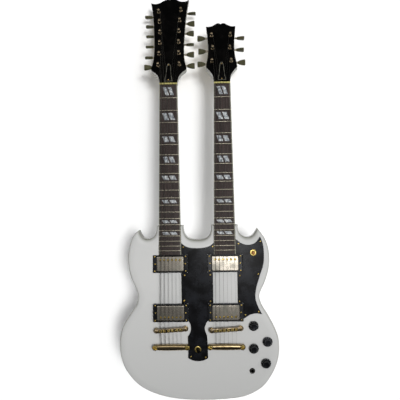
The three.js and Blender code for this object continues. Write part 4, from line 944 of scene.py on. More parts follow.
def eased(outline, level):
    # the left horn is a little shorter, and the outline stays within the box of its solid
    middle, lean = bodyShape["hornTip"]
    horn = [p for p in outline if p.x < bodyShape["hornEdge"]]
    tip = max(horn, key=lambda p: p.y - lean * abs(p.x - middle))
    near, far = bodyShape["hornReach"]
    low, high = (Vector((pick(p.x for p in level), pick(p.y for p in level))) for pick in (min, max))
    result = []
    for point in outline:
        share = min(max((far - (point - tip).length) / (far - near), 0), 1)
        spot = point + Vector(bodyShape["hornShift"]) * (share * share * (3 - 2 * share))
        result.append(Vector((min(max(spot.x, low.x), high.x), min(max(spot.y, low.y), high.y))))
    return result


def cutawayRuns(outline):
    # the stretches of the outline that dip between a horn and a neck, or between the necks
    count = len(outline)
    sides = [outline[(i + 1) % count] - outline[i] for i in range(count)]
    sharp = [i for i in range(count) if sides[i - 1].angle(sides[i]) > bodyShape["cutawayCorner"]]
    floor, ceiling = bodyShape["cutawayLevels"]
    runs = []
    for i, start in enumerate(sharp):
        stop = sharp[(i + 1) % len(sharp)]
        run = [outline[k % count] for k in range(start, stop + (count if stop <= start else 0) + 1)]
        if not floor < min(point.y for point in run) < ceiling:
            continue
        middle = abs(sum(point.x for point in run) / len(run)) < bodyShape["middleWidth"]
        fade = bodyShape["middleFade"] if middle else bodyShape["hornFade"]
        if not middle and run[0].y < run[-1].y:
            fade = fade[::-1]
        runs.append(([tuple(point) for point in run], fade))
    return runs


def shoulderPlace(above=0):
    # the height on a neck, from its nut, that stands that far above the body's shoulder
    return (layout["shoulder"] + above - boardEnd) / math.cos(layout["neckPitch"]) - boardLength


pockets = {
    "tenonDepth": 25, "pickup": (70.2, 39), "pickupDepth": 21, "switch": (32.6, 15.6, 25),
    "stud": 4.1, "post": 3.3, "studDepth": 20, "past": 18, "tenonTop": 8, "tenonPast": 4, "shoulder": 2,
}


def bodyPockets():
    past = face + pockets["past"]
    shells = []

    def bore(radius, x, y):
        shells.append(moved(rod(radius, face - pockets["studDepth"], past), at(x, y)))

    def pocket(size, depth, x, y):
        shells.append(block(*size, face - depth, past, x, y))

    for neck in necks:
        x = neckX(neck)
        shoulder = shoulderPlace(pockets["shoulder"])
        low = -layout["boardThickness"] - pockets["tenonDepth"] - seat
        plan = [Vector((sign * (boardHalfWidth(neck, y) + seat), y + over))
                for sign, y, over in ((-1, shoulder, pockets["tenonPast"]), (-1, -boardLength, -seat),
                                      (1, -boardLength, -seat), (1, shoulder, pockets["tenonPast"]))]
        shells.append(moved(plate([plan], low, pockets["tenonTop"]), neckLocal(neck)))
        for pickup in fittings["pickups"]:
            pocket(pockets["pickup"], pockets["pickupDepth"], x, pickup["y"])
        for end in (-1, 1):
            bore(pockets["stud"], x + end * fittings["studSpread"] / 2, fittings["tail"])
            bore(pockets["post"], *bridgeEnd(neck, end))
    for x, y in fittings["switches"].values():
        pocket(pockets["switch"][:2], pockets["switch"][2], x, y)
    cavity = smoothed(faceLoops("body", bodyFrame, layout["cavityTop"])[0])
    shells.append(plate([cavity], -5, layout["cavityTop"]))
    return merged(*shells)


def neckLocal(neck):
    return bodyFrame.inverted() @ neckFrame(neck)


bridgeShape = {
    "length": 83.5, "width": 11, "height": 6.5, "slant": 3.6 * degree, "drop": 2, "postSpread": 74,
    "rim": 2.8, "lowRim": 0.6, "trough": (54, 6.2, 1, 3), "troughDepth": 3, "bed": (53.8, 6, 1, 3),
    "bedDepths": (2.98, 1.4), "saddleRise": 3.4, "saddleWidth": 7.4, "saddleLength": 6.4,
    "saddleSides": (-1, 0.9, 1.2), "ridgeHalf": 0.5, "ridgeLean": 1.6, "ridgeRises": (0.6, 0.1, 0.35),
    "notchGap": 0.25, "notchReach": (0.05, 0.3), "screwDrop": 2.6, "wheelHeight": 2.2,
    "wheel": [(1, 0), (6.9, 0), (7.2, 0.3), (7.2, 1.9), (6.9, 2.2), (1, 2.2)],
    "knurls": (96, 32, 0.3, (2, 3)), "postRadius": 3, "postDepth": 19,
    "cap": [(3, 0), (3, 1.2), (2.7, 1.6), (0.4, 1.7)], "capSunk": 0.5, "capTurns": (-0.8, 0.8),
}


def bridgeEnd(neck, end):
    reach = end * bridgeShape["postSpread"] / 2
    slant = bridgeShape["slant"]
    return neckX(neck) + reach * math.cos(slant), reach * math.sin(slant) - bridgeShape["drop"]


def makeBody():
    mesh = combined(meshOf(bodyShell(), bodyFrame), bodyPockets(), bodyFrame)
    piece("guitar_body", mesh, None, "bodyLacquerPaintedShade", replaces=["body"], sharp=50)
    print("body: faces", len(mesh.polygons))


makeBody()

# Necks: a shaft lofted from the heel to the head, the head itself and its black face.
neckShape = {
    "depthAtNut": 15, "depthAtBody": 17.5, "tenonDepth": 25, "heel": 26, "heelSteps": 8,
    "plateThickness": 1.2, "volute": 2.5, "voluteLength": 14, "sectionSteps": 28, "headEdge": 0.8,
    "bore": 3.4, "plateEdge": 0.35,
}


def shaftRing(half, depth, y, top):
    ring = []
    for k in range(neckShape["sectionSteps"] + 1):
        angle = turn / 2 * k / neckShape["sectionSteps"]
        across = math.copysign(abs(math.cos(angle)) ** 0.8, math.cos(angle))
        ring.append(Vector((half * across, y, top - depth * max(math.sin(angle), 0) ** 0.75)))
    return ring


def between(rings, steps):
    # rings set along a smooth run through the given ones
    result = []
    for i in range(len(rings) - 1):
        before = rings[max(i - 1, 0)]
        after = rings[min(i + 2, len(rings) - 1)]
        for k in range(steps):
            t = k / steps
            ring = []
            for a, b, c, d in zip(before, rings[i], rings[i + 1], after):
                ring.append(0.5 * ((2 * b) + (c - a) * t + (2 * a - 5 * b + 4 * c - d) * t**2
                                   + (3 * b - a - 3 * c + d) * t**3))
            result.append(ring)
    return result + [rings[-1]]


def shaftShell(neck):
    shape = neckShape
    low = -layout["boardThickness"]
    heelStart = shoulderPlace() + shape["heel"]
    deep, shallow = shape["depthAtBody"], shape["depthAtNut"]
    stations = []
    for k in range(shape["heelSteps"] + 1):
        share = 1 - k / shape["heelSteps"]
        rise = 1 - math.sqrt(1 - share**2 * 0.98)
        y = heelStart - shape["heel"] * share - (4 if k == 0 else 0)
        stations.append((y, deep + (shape["tenonDepth"] - deep - seat) * rise))
    stations += [(heelStart * 0.75, deep - 0.6), (heelStart * 0.5, (deep + shallow) / 2),
                 (heelStart * 0.25, shallow + 0.7), (-20, shallow + 0.1), (-layout["nutThickness"], shallow)]
    rings = [shaftRing(boardHalfWidth(neck, min(y, 0)), depth, y, low) for y, depth in stations]
    toNeck = neckFrame(neck).inverted() @ headFrame(neck)
    along = shape["voluteLength"]
    for y, more in ((0.5, 2.2), (along, shape["volute"]), (along * 1.7, 0.6), (along * 2.5, -1)):
        ring = shaftRing(neck["nutWidth"] / 2, layout["headThickness"] + more, y, -shape["plateThickness"])
        rings.append([toNeck @ p for p in ring])
    return loft(between(rings, 4))


def makeNeck(neck):
    shape = neckShape
    place, headPlace = neckFrame(neck), headFrame(neck)
    node = "neck_" + neck["name"]
    outline = smoothed(wound(faceLoops(node, headPlace, 0)[0], True), 1.6, 40)
    thin = shape["plateThickness"]
    slab = plate([outline], -layout["headThickness"], -thin, 0, 2, shape["headEdge"])
    mesh = combined(meshOf(shaftShell(neck), place), slab, headPlace, "UNION")
    under = -layout["boardThickness"]
    shoulder = shoulderPlace()
    plan = [Vector((sign * boardHalfWidth(neck, y), y)) for sign, y in (
        (-1, shoulder), (-1, seat - boardLength), (1, seat - boardLength), (1, shoulder))]
    mesh = combined(mesh, plate([plan], under - shape["tenonDepth"], under), place, "UNION")
    room = block(2 * neck["nutWidth"], layout["nutThickness"] + 2 * seat, under - seat, 20,
                 0, layout["nutThickness"] / 2)
    mesh = combined(mesh, room, place)
    spots = [(post["x"], post["y"]) for post in posts(neck)]
    bores = repeated(rod(shape["bore"], -30, 30), [at(*spot) for spot in spots])
    mesh = combined(mesh, bores, headPlace)
    piece("neck_shaft_" + neck["name"], mesh, None, "lacquer", replaces=[node], sharp=38)
    holes = [circle(shape["bore"], *spot, 20) for spot in spots]
    piece("headplate_" + neck["name"], plate([outline, *holes], -thin, 0, shape["plateEdge"], 3),
          headPlace, "headplate")
    print("neck", neck["name"], "faces", len(mesh.polygons))


def posts(neck):
    found = []
    for side in (-1, 1):
        for number, share in enumerate(neck["postRows"]):
            x = side * neck["postRow"] * share
            y = neck["firstPost"] + number * neck["postPitch"]
            y += neck["headSkew"] * x * y / neck["headLength"]
            rise = 10 * neck["keyRises"][side > 0][number]
            found.append({"side": side, "number": number, "x": x, "y": y, "rise": rise,
                          "turned": neck["keyTurns"][side > 0][number] * degree})
    return found


for neck in necks:
    makeNeck(neck)

# Fingerboards with their binding, frets and inlays.
boardShape = {
    "leftBinding": 1.4, "rightBinding": 2.6, "crownSteps": 12, "lengthSteps": 8, "pastEnd": 1.6,
    "inlayLift": 0.04, "inlayDepth": 0.6, "inlaySteps": 6,
}
fretShape = {"width": 2.4, "rise": 1.1, "sunk": 0.6, "inset": 0.35, "endDrop": 0.35, "steps": 14, "arc": 6}

# the width of one half of each inlay, the gap between the halves, their height and their slant
inlayPlaces = {
    1: (8.7, 4.1, 21.2, 7.5), 3: (11.2, 4.2, 18.6, 6.8), 5: (11.8, 4.4, 14.6, 5.7), 7: (11, 4.4, 15.2, 5.6),
    9: (14.6, 4.5, 10.6, 4.8), 12: (15, 4.5, 8, 4.6), 15: (15.5, 4.5, 7.2, 4.6), 17: (15.5, 4.5, 6.8, 4.4),
}


def crown(x):
    return math.sqrt(layout["boardRadius"] ** 2 - x**2) - layout["boardRadius"]


def boardShell(neck, inner, outer, steps):
    # a length of board between two distances from its edge
    rings = []
    low = -layout["boardThickness"]
    for k in range(boardShape["lengthSteps"] + 1):
        y = -(boardLength + boardShape["pastEnd"]) * k / boardShape["lengthSteps"]
        half = boardHalfWidth(neck, y)
        xs = [inner(half) + (outer(half) - inner(half)) * i / steps for i in range(steps + 1)]
        top = [Vector((x, y, crown(x))) for x in xs]
        rings.append([Vector((xs[0], y, low)), *top, Vector((xs[-1], y, low))])
    return loft(rings)


def inlayShell(number):
    width, gap, tall, slant = inlayPlaces[number]
    middle = -(fretDistance(number - 1) + fretDistance(number)) / 2
    steps = boardShape["inlaySteps"]
    deep = Vector((0, 0, boardShape["inlayDepth"]))
    shells = []
    for side in (-1, 1):
        rings = []
        for k in range(steps + 1):
            x0 = side * (width + gap) / 2 + (k / steps - 0.5) * width
            spots = [(x0 - up * slant, middle + up * tall) for up in (0.5, -0.5)]
            column = [Vector((x, y, crown(x) + boardShape["inlayLift"])) for x, y in spots]
            rings.append(column + [p - deep for p in reversed(column)])
        shells.append(loft(rings))
    return merged(*shells)


def fretShell():
    # one fret, a unit long across the board
    half, sunk, steps = fretShape["width"] / 2, -fretShape["sunk"], fretShape["steps"]
    rings = []
    for k in range(steps + 1):
        height = fretShape["rise"] - (fretShape["endDrop"] if k in (0, steps) else 0)
        arc = [turn / 2 * i / fretShape["arc"] for i in range(fretShape["arc"] + 1)]
        ring = [(half, sunk), *[(math.cos(a) * half, math.sin(a) * height) for a in arc], (-half, sunk)]
        rings.append([Vector((k / steps - 0.5, y, z)) for y, z in ring])
    return loft(rings)


def makeBoard(neck):
    name = neck["name"]
    place = neckFrame(neck) @ at(z=layout["boardLift"])
    left, right = boardShape["leftBinding"], boardShape["rightBinding"]
    wood = boardShell(neck, lambda half: left - half, lambda half: half - right, boardShape["crownSteps"])
    piece("board_" + name, wood, place, "rosewood", replaces=["fingerboard_" + name])
    edges = [boardShell(neck, lambda half: -half, lambda half: left - half, 1),
             boardShell(neck, lambda half: half - right, lambda half: half, 1)]
    piece("binding_" + name, merged(*edges), place, "binding")
    piece("inlays_" + name, merged(*[inlayShell(number) for number in inlayPlaces]), place, "pearl")
    template = temporary(meshOf(fretShell()))
    mesh = runTree(temporary(bpy.data.meshes.new("frets")), fretTree, {
        "Fret": template, "Count": layout["frets"], "Scale Length": layout["scale"],
        "Nut Width": neck["nutWidth"] - 2 * fretShape["inset"],
        "Widening": (neck["endWidth"] - neck["nutWidth"]) / boardLength,
        "Crown Radius": float(layout["boardRadius"]), "Material": looks["fretwire"][0]})
    bpy.data.objects.remove(template)
    mesh.transform(place)
    piece("frets_" + name, mesh, None, "fretwire")
    print("board", name, "fret faces", len(mesh.polygons))


for neck in necks:
    makeBoard(neck)

# A screw's domed head with a crossed slot: shares of its radius and height, and the slot's own size.
screwShape = {
    "dome": [(1, 0), (1, 0.35), (0.92, 0.68), (0.72, 0.9), (0.62, 0.95), (0.4, 1), (0.2, 1)],
    "sides": 24, "slot": 0.54, "slotDepth": 0.45, "slotReach": 0.7, "guard": (1.9, 1.0),
    "frame": (1.8, 0.9), "tuner": (1.9, 0.9), "truss": (1.6, 0.7), "cavity": (2.1, 0.5), "saddle": (1.7, 0.5),
}


def screwShell(kind):
    radius, height = screwShape[kind]
    rings = []
    for reach, level in screwShape["dome"]:
        ring = []
        for x, y in circle(reach * radius, sides=screwShape["sides"]):
            slotted = min(abs(x), abs(y)) < screwShape["slot"] / 2 and reach < screwShape["slotReach"]
            ring.append((x, y, height * level - (screwShape["slotDepth"] if slotted else 0)))
        rings.append(ring)
    return loft(rings)


def standing(frameMatrix, x, y, z, spin=0.0):
    return frameMatrix @ at(x, y, z) @ turned(spin)


guardShape = {
    "thickness": 2.3, "edge": 0.7, "screwTurn": 0.7, "windowY": (60, 145),
    "windowX": {"treble": (103, 3.4), "centre": (30, -3.3)},
    "screws": {
        "treble": [(104.5, 213.3), (160.2, 218.4), (106.6, 132.5), (154, 136.3), (105.2, 67.1),
                   (119.2, 32.4), (153.4, 40.3)],
        "centre": [(-36, 206.5), (39.2, 207.2), (-33.6, 134.3), (32, 134.8), (-35.2, 70.8), (31.3, 68.1),
                   (-20.3, -72), (17, -74.3)],
    },
}
guardTop = face + seat + guardShape["thickness"]


def makeGuard(name, screws):
    node = "pickguard_" + name
    loops = [smoothed(wound(loop, i == 0), 1.8)
             for i, loop in enumerate(faceLoops(node, bodyFrame, guardTop))]
    # the side beside the six-string window stands back a little
    line, shift = guardShape["windowX"][name]
    low, high = guardShape["windowY"]
    for point in loops[0]:
        if low < point.y < high and (point.x < line if shift > 0 else point.x > line):
            point.x += shift
    shell = plate(loops, face + seat, guardTop, guardShape["edge"], 3)
    piece("guard_" + name, shell, bodyFrame, "black", replaces=[node])
    places = [standing(bodyFrame, x, y, guardTop, i * guardShape["screwTurn"])
              for i, (x, y) in enumerate(screws)]
    scattered("guard_screws_" + name, screwShell("guard"), places, "brightGold")


for name, screws in guardShape["screws"].items():
    makeGuard(name, screws)
print("guards:", len(guardShape["screws"]))

# Pickups: frames with a sloping top, covers with their pole screws.
pickupShape = {
    "ring": (89, 45, 2.4), "ringBelow": 2.6, "ringEdge": 0.9, "corner": (39.5, 18.3),
    "heightScrew": 38.5, "screwSunk": 0.1, "cover": (68.6, 37.4, 1.8), "coverGap": 0.5,
    "coverDepth": 17, "coverEdge": 1.5, "ears": (82, 14, 18.2, 16.7), "poles": 6, "poleSpread": 50.2,
    "poleRadius": 2.5, "poleSlot": 0.45, "poleSunk": 0.2, "poleSpin": (0.35, -0.6),
    "seatRadius": 3.05, "seatDepth": 0.3, "seatLift": 0.03,
}


def makePickup(neck, pickup):
    shape = pickupShape
    name = neck["name"] + "_" + pickup["name"]
    here = at(neckX(neck), pickup["y"])
    top = coverTop(pickup)
    low = face + seat
    length, width, radius = shape["cover"]
    gap = 2 * shape["coverGap"]
    window = roundBox(length + gap, width + gap, radius)
    rim = top - shape["ringBelow"]
    points, faces = plate([roundBox(*shape["ring"]), window], low, rim, shape["ringEdge"], 4)
    slope = stringHeight(0) - stringHeight(1)
    lift = lambda p: p[2] - slope * p[1] if p[2] > (low + rim) / 2 else p[2]
    points = [(p[0], p[1], lift(p)) for p in points]
    piece("frame_" + name, moved((points, faces), here), bodyFrame, "black",
          replaces=["pickup_ring_" + name])
    across, up = shape["corner"]
    spots = [(sx * across, sy * up, sx + sy) for sx in (-1, 1) for sy in (-1, 1)]
    spots += [(sx * shape["heightScrew"], 0, sx) for sx in (-1, 1)]
    places = [standing(bodyFrame @ here, x, y, rim - slope * y - shape["screwSunk"], spin)
              for x, y, spin in spots]
    scattered("frame_screws_" + name, screwShell("frame"), places, "brightGold")
    edge = shape["coverEdge"]
    shell = plate([roundBox(length, width, radius + edge)], top - shape["coverDepth"], top, edge, 5)
    earLength, earWidth, earLow, earHigh = shape["ears"]
    ears = block(earLength, earWidth, top - earLow, top - earHigh)
    piece("cover_" + name, moved(merged(shell, ears), here), bodyFrame, "cover",
          replaces=["pickup_" + name])
    poles = [(shape["poleSpread"] * (i / (shape["poles"] - 1) - 0.5), pickup["poles"])
             for i in range(shape["poles"])]
    disc = plate([circle(shape["seatRadius"], sides=24)], top - shape["seatDepth"], top + shape["seatLift"])
    piece("pole_seats_" + name, repeated(disc, [here @ at(*pole) for pole in poles]), bodyFrame, "black")
    each, first = shape["poleSpin"]
    places = [standing(bodyFrame @ here, x, y, top - shape["poleSunk"], each * i + first)
              for i, (x, y) in enumerate(poles)]
    scattered("poles_" + name, poleShell(), places, "brightGold")


def poleShell():
    # a cheese head with one slot across it
    radius = pickupShape["poleRadius"]
    start = math.asin(pickupShape["poleSlot"] / radius)
    shells = []
    for sign in (-1, 1):
        arc = [Vector((radius * math.cos(a), sign * radius * math.sin(a)))
               for a in np.linspace(start, turn / 2 - start, 12)]
        shells.append(plate([arc], 0, 1, 0.75, 4))
    shells.append(rod(radius, 0, 0.35, 24))
    return merged(*shells)


for neck in necks:
    for pickup in fittings["pickups"]:
        makePickup(neck, pickup)
print("pickups: 4")


def stringPlaces(neck):
    courses = len(neck["gauges"]) // neck["paired"]
    places = []
    for i, gauge in enumerate(neck["gauges"]):
        share = i // neck["paired"] / (courses - 1) - 0.5
        offset = 0 if neck["paired"] == 1 else i % 2 - 0.5
        places.append({"radius": gauge / 2, "nutX": share * neck["nutSpan"] + offset * neck["pairAtNut"],
                       "saddleX": share * neck["saddleSpan"] + offset * neck["pairAtSaddle"]})
    return places


def saddleY(x, neck):
    return (x - neckX(neck)) * math.tan(bridgeShape["slant"]) - bridgeShape["drop"]


def capsule(length, width, perEnd=12):
    points = []
    for end in (1, -1):
        for i in range(perEnd + 1):
            angle = turn / 2 * i / perEnd - turn / 4
            points.append(Vector((end * ((length - width) / 2 + width / 2 * math.cos(angle)),
                                  end * width / 2 * math.sin(angle))))
    return points


def saddleShell(strings, hand):
    # a peaked block with a notch for each string, its ridge askew to one hand or the other
    half = bridgeShape["saddleWidth"] / 2
    deep = bridgeShape["saddleLength"] / 2
    wider = bridgeShape["notchGap"]
    inside, outside = bridgeShape["notchReach"]
    cuts = {-half, half} | {x + side * (radius + wider) for x, radius in strings for side in (-1, 0, 1)}
    peak, shoulder, notch = bridgeShape["ridgeRises"]
    base, front, back = bridgeShape["saddleSides"]
    ridge = bridgeShape["ridgeHalf"]
    rings = []
    for x in sorted(cuts):
        near = min(abs(x - place) for place, radius in strings)
        rise = bridgeShape["saddleRise"] + (peak if near > outside else shoulder)
        rise -= notch if near < inside else 0
        lean = hand * bridgeShape["ridgeLean"] * x / half
        section = [(-deep, base), (deep, base), (deep, front), (lean + ridge, rise), (lean - ridge, rise),
                   (-deep, back)]
        rings.append([Vector((x, y, z)) for y, z in section])
    return loft(rings)


def makeBridge(neck):
    name = neck["name"]
    shape = bridgeShape
    top = saddleHeight() - shape["saddleRise"]
    low = top - shape["height"]
    slanted = at(neckX(neck), -shape["drop"]) @ turned(shape["slant"])
    bar = plate([capsule(shape["length"], shape["width"])], low, top, shape["rim"], 5, shape["lowRim"])
    trough = plate([roundBox(*shape["trough"])], top - shape["troughDepth"], top + 5)
    mesh = combined(meshOf(moved(bar, slanted), bodyFrame), moved(trough, slanted), bodyFrame)
    piece("bridge_bar_" + name, mesh, None, "shadedGold", replaces=["bridge_" + name])
    bedLow, bedHigh = shape["bedDepths"]
    bed = plate([roundBox(*shape["bed"])], top - bedLow, top - bedHigh)
    piece("saddle_bed_" + name, moved(bed, slanted), bodyFrame, "black")
    places = stringPlaces(neck)
    saddles, screws = [], []
    for course in range(0, len(places), neck["paired"]):
        pair = places[course:course + neck["paired"]]
        middle = sum(p["saddleX"] for p in pair) / len(pair)
        strings = [(p["saddleX"] - middle, p["radius"]) for p in pair]
        x = neckX(neck) + middle
        y = saddleY(x, neck)
        saddles.append(moved(saddleShell(strings, 1 if len(saddles) % 2 else -1), at(x, y, top)))
        screws.append(bodyFrame @ at(x, y - shape["width"] / 2, top - shape["screwDrop"])
                      @ turned(turn / 4, "X"))
    piece("saddles_" + name, merged(*saddles), bodyFrame, "brightGold", sharp=25)
    scattered("saddle_screws_" + name, screwShell("saddle"), screws, "brightGold")
    ends = [bodyFrame @ at(*bridgeEnd(neck, end)) for end in (-1, 1)]
    wheelLow = low - shape["wheelHeight"]
    post = rod(shape["postRadius"], face - shape["postDepth"] - wheelLow, 0.5)
    scattered("thumbwheels_" + name, merged(lathe(shape["wheel"], *shape["knurls"]), post),
              [end @ at(z=wheelLow) for end in ends], "gold")
    scattered("post_caps_" + name, lathe(shape["cap"], 24),
              [end @ at(z=top - shape["capSunk"]) @ turned(spin)
               for end, spin in zip(ends, shape["capTurns"])], "gold")


tailShape = {
    "length": 97.5, "width": 15.5, "height": 10.5, "lift": 4, "round": 6.3, "lowRound": 2.2,
    "belly": 0.9, "well": 6.9, "stringHole": 1.15, "holeReach": 12,
    "seatRing": (6.85, 5.6), "seatDepths": (3.2, 0.9), "slot": (14, 2.1, 9.4, 14),
    "stud": [(3.8, -20), (3.8, -1.1), (5.6, -1.1), (5.6, 0), (3.8, 0.1), (3.8, 8), (5.7, 8.2),
             (5.75, 10.4), (5.3, 11.1), (4.9, 11.3), (0.6, 11.3)], "studTurns": (-0.5, 0.5),
}


def tailOutline():
    outline = []
    for point in smoothEnds(capsule(tailShape["length"], tailShape["width"] - 2 * tailShape["belly"])):
        swell = max(0.0, 1 - (2 * point.x / fittings["studSpread"]) ** 2)
        outline.append(Vector((point.x, point.y + math.copysign(tailShape["belly"] * swell, point.y))))
    return outline


def smoothEnds(loop):
    result = []
    for a, b in zip(loop, loop[1:] + loop[:1]):
        steps = max(1, round((b - a).length / 4))
        result += [a.lerp(b, k / steps) for k in range(steps)]
    return result


def makeTail(neck):
    name = neck["name"]
    shape = tailShape
    low = face + shape["lift"]
    top = low + shape["height"]
    here = at(neckX(neck), fittings["tail"])
    ends = [here @ at(end * fittings["studSpread"] / 2) for end in (-1, 1)]
    bar = plate([tailOutline()], low, top, shape["round"], 12, shape["lowRound"])
    wells = repeated(rod(shape["well"], low - 1, top + 4, 32), ends)
    mesh = combined(meshOf(moved(bar, here), bodyFrame), wells, bodyFrame)
    if neck["paired"] == 1:
        reach, level = shape["holeReach"], low + shape["height"] / 2
        places = [here @ at(place["saddleX"], 0, level) @ turned(turn / 4, "X")
                  for place in stringPlaces(neck)]
        holes = repeated(rod(shape["stringHole"], -reach, reach, 12), places)
        mesh = combined(mesh, holes, bodyFrame)
    piece("tail_bar_" + name, mesh, None, "barGold", replaces=["tailpiece_" + name], sharp=36)
    outer, inner = shape["seatRing"]
    seatLow, seatHigh = shape["seatDepths"]
    ring = plate([circle(outer), circle(inner)], top - seatLow, top - seatHigh, 0.3, 2)
    piece("stud_seats_" + name, repeated(ring, ends), bodyFrame, "black")
    slotted = combined(meshOf(lathe(shape["stud"], 36)), block(*shape["slot"]))
    stud = ([v.co.copy() for v in slotted.vertices], [tuple(p.vertices) for p in slotted.polygons])
    places = [bodyFrame @ end @ at(z=low) @ turned(spin) for end, spin in zip(ends, shape["studTurns"])]
    scattered("tail_studs_" + name, stud, places, "brightGold")


# Strings, from the bar over the saddle and the nut to the post, and round it into its hole.
stringShape = {
    "waist": 2.4, "loopGap": 0.5, "hole": 8.2, "bend": 1.1, "bendSteps": 6, "end": 0.4, "steps": 28,
    "nutDip": 0.1, "fuller": 1.02, "sides": 10, "inTail": 3.4, "pastTail": 1,
    "crest": [(-1.1, -0.35), (-0.4, 0), (0.6, 0)],
}


def windings(post, start, radius, turns):
    shape = stringShape
    hand = -post["side"]
    reach = shape["waist"] + seat + radius
    pitch = 2 * radius + shape["loopGap"]
    away = Vector((post["x"] - start.x, post["y"] - start.y))
    heading = math.atan2(away.y, away.x) - hand * math.asin(reach / away.length)
    angle = heading - hand * turn / 4
    first = shape["hole"] - turns * pitch
    steps = int(turns * shape["steps"])
    spot = lambda a, r, z: Vector((post["x"] + r * math.cos(a), post["y"] + r * math.sin(a), z))
    points = [spot(angle + hand * turn * i / shape["steps"], reach, first + i * pitch / shape["steps"])
              for i in range(steps + 1)]
    angle += hand * turn * steps / shape["steps"]
    bend = shape["bend"]
    hub = spot(angle, reach - bend, shape["hole"])
    lean = math.atan2(bend, math.sqrt(reach**2 - 2 * reach * bend))
    for k in range(1, shape["bendSteps"] + 1):
        around = angle + hand * (turn / 4 + lean) * k / shape["bendSteps"]
        points.append(hub + Vector((bend * math.cos(around), bend * math.sin(around), 0)))
    return points + [spot(angle + hand * lean, shape["end"], shape["hole"])]


def postOf(neck, index):
    perSide = len(neck["postRows"])
    side = -1 if index < perSide else 1
    number = index if side < 0 else 2 * perSide - 1 - index
    return next(p for p in posts(neck) if p["side"] == side and p["number"] == number)


def stringRun(neck, place, post):
    x = neckX(neck) + place["saddleX"]
    leave = fittings["tail"] + tailShape["width"] / 2
    tailZ = face + tailShape["lift"] + tailShape["height"] / 2
    toBody = neckLocal(neck)
    toFace = bodyFrame.inverted() @ headFrame(neck)
    seated = place["radius"] * (2 - stringShape["fuller"])
    nutZ = layout["stringAtNut"] + seated
    crest = Vector((x, saddleY(x, neck), saddleHeight() + seated))
    overNut = [(-0.2, nutZ), (0, nutZ), (layout["nutThickness"], nutZ - stringShape["nutDip"])]
    run = [Vector((x, leave - stringShape["inTail"], tailZ)),
           Vector((x, leave + stringShape["pastTail"], tailZ)),
           *[crest + Vector((0, *move)) for move in stringShape["crest"]],
           *[toBody @ Vector((place["nutX"], *spot)) for spot in overNut]]
    start = toFace.inverted() @ run[-1]
    return run + [toFace @ p for p in windings(post, start, place["radius"], neck["stringTurns"])]


def makeStrings(neck):
    meshes = []
    for index, place in enumerate(stringPlaces(neck)):
        run = [bodyFrame @ p for p in stringRun(neck, place, postOf(neck, index))]
        line = bpy.data.meshes.new("run")
        line.from_pydata([tuple(p) for p in run], [(i, i + 1) for i in range(len(run) - 1)], [])
        meshes.append(runTree(temporary(line), stringTree, {
            "Radius": place["radius"] * stringShape["fuller"] * millimetre,
            "Sides": stringShape["sides"], "Material": looks["steel"][0]}))
    mesh = joined(meshes)
    piece("strings_" + neck["name"], mesh, None, "steel", replaces=["tailpiece_" + neck["name"]], sharp=60)
    print("strings", neck["name"], "faces", len(mesh.polygons))


for neck in necks:
    makeBridge(neck)
    makeTail(neck)
    makeStrings(neck)

# Tuners: posts and bushings on the face of the head, plates and housings behind it, keys beside it.
tunerShape = {
    "plate": (14, 1, 8), "plateRound": 2, "plateEdge": 0.3, "plateLow": -16.3, "housing": (14.6, 24.6, 3.2),
    "housingLow": -24.2, "housingEdge": 2.0, "cap": (3.4, -3), "keyHeight": -20.3, "keyStart": 1.5,
    "post": [(3.1, -16.3), (3.1, 0.3), (4.4, 0.3), (4.4, 0.8), (4.1, 1.1), (3.7, 1.2), (3.1, 1.25),
             (3.0, 2.2), (2.4, 3), (2.35, 6.2), (2.4, 9.5), (3, 10.2), (3.1, 11.3), (2.8, 11.8),
             (2.2, 12), (0.4, 12)],
}

# a button's stations: shares of its length, width and thickness; its shaft, up to the button's start
keyShape = {
    "length": 21, "width": 15.98, "thickness": 7.6, "sides": 28, "squareness": 0.75,
    "stations": [(-0.02, 0.2, 0.5), (0.01, 0.3, 0.72), (0.06, 0.42, 0.88), (0.14, 0.54, 0.95),
                 (0.26, 0.68, 0.98), (0.4, 0.8, 1), (0.56, 0.9, 1), (0.72, 0.97, 1), (0.86, 1, 1),
                 (0.94, 0.97, 0.97), (0.985, 0.9, 0.86), (1, 0.76, 0.66)],
    "shaft": [(0.3, 0), (2, 0.2)],
    "collar": [(2, -4.6), (2.6, -4.4), (3.3, -3.4), (3.4, -2.6), (3, -1.8), (3, -1.3), (3.4, -0.8),
               (3.3, 0.2), (0.3, 0.4)],
}


def housingShell():
    shape = tunerShape
    low = shape["housingLow"]
    box = plate([roundBox(*shape["housing"])], low, shape["plateLow"] + 1, 0, 4, shape["housingEdge"])
    radius, aside = shape["cap"]
    return merged(box, moved(rod(radius, low, low + 1, 24), at(0, aside)))


def makeTuners(neck):
    shape = tunerShape
    place = headFrame(neck)
    for side, where in ((-1, "bass"), (1, "treble")):
        tag = f"{neck['name']}_{where}"
        row = [post for post in posts(neck) if post["side"] == side]
        middle = sum(post["x"] for post in row) / len(row)
        levels = [post["y"] + post["rise"] / 2 for post in row]
        width, thick, end = shape["plate"]
        low, high = row[0]["y"] - end, row[-1]["y"] + row[-1]["rise"] + end
        strip = plate([roundBox(width, high - low, shape["plateRound"])], shape["plateLow"],
                      shape["plateLow"] + thick, 0, 2, shape["plateEdge"])
        piece("tuner_plate_" + tag, moved(strip, at(middle, (low + high) / 2)), place, "gold",
              replaces=["tuner_strip_" + tag])
        scattered("tuner_posts_" + tag, lathe(shape["post"]),
                  [standing(place, post["x"], post["y"], 0, post["x"]) for post in row], "shadedGold")
        scattered("tuner_housings_" + tag, housingShell(),
                  [standing(place, post["x"], level, 0) for post, level in zip(row, levels)], "gold")
        screws = [place @ at(middle, (first + second) / 2, shape["plateLow"]) @ turned(turn / 2, "X")
                  for first, second in zip(levels, levels[1:])]
        scattered("tuner_screws_" + tag, screwShell("tuner"), screws, "gold")
        for post in row:
            makeKey(neck, post, where)


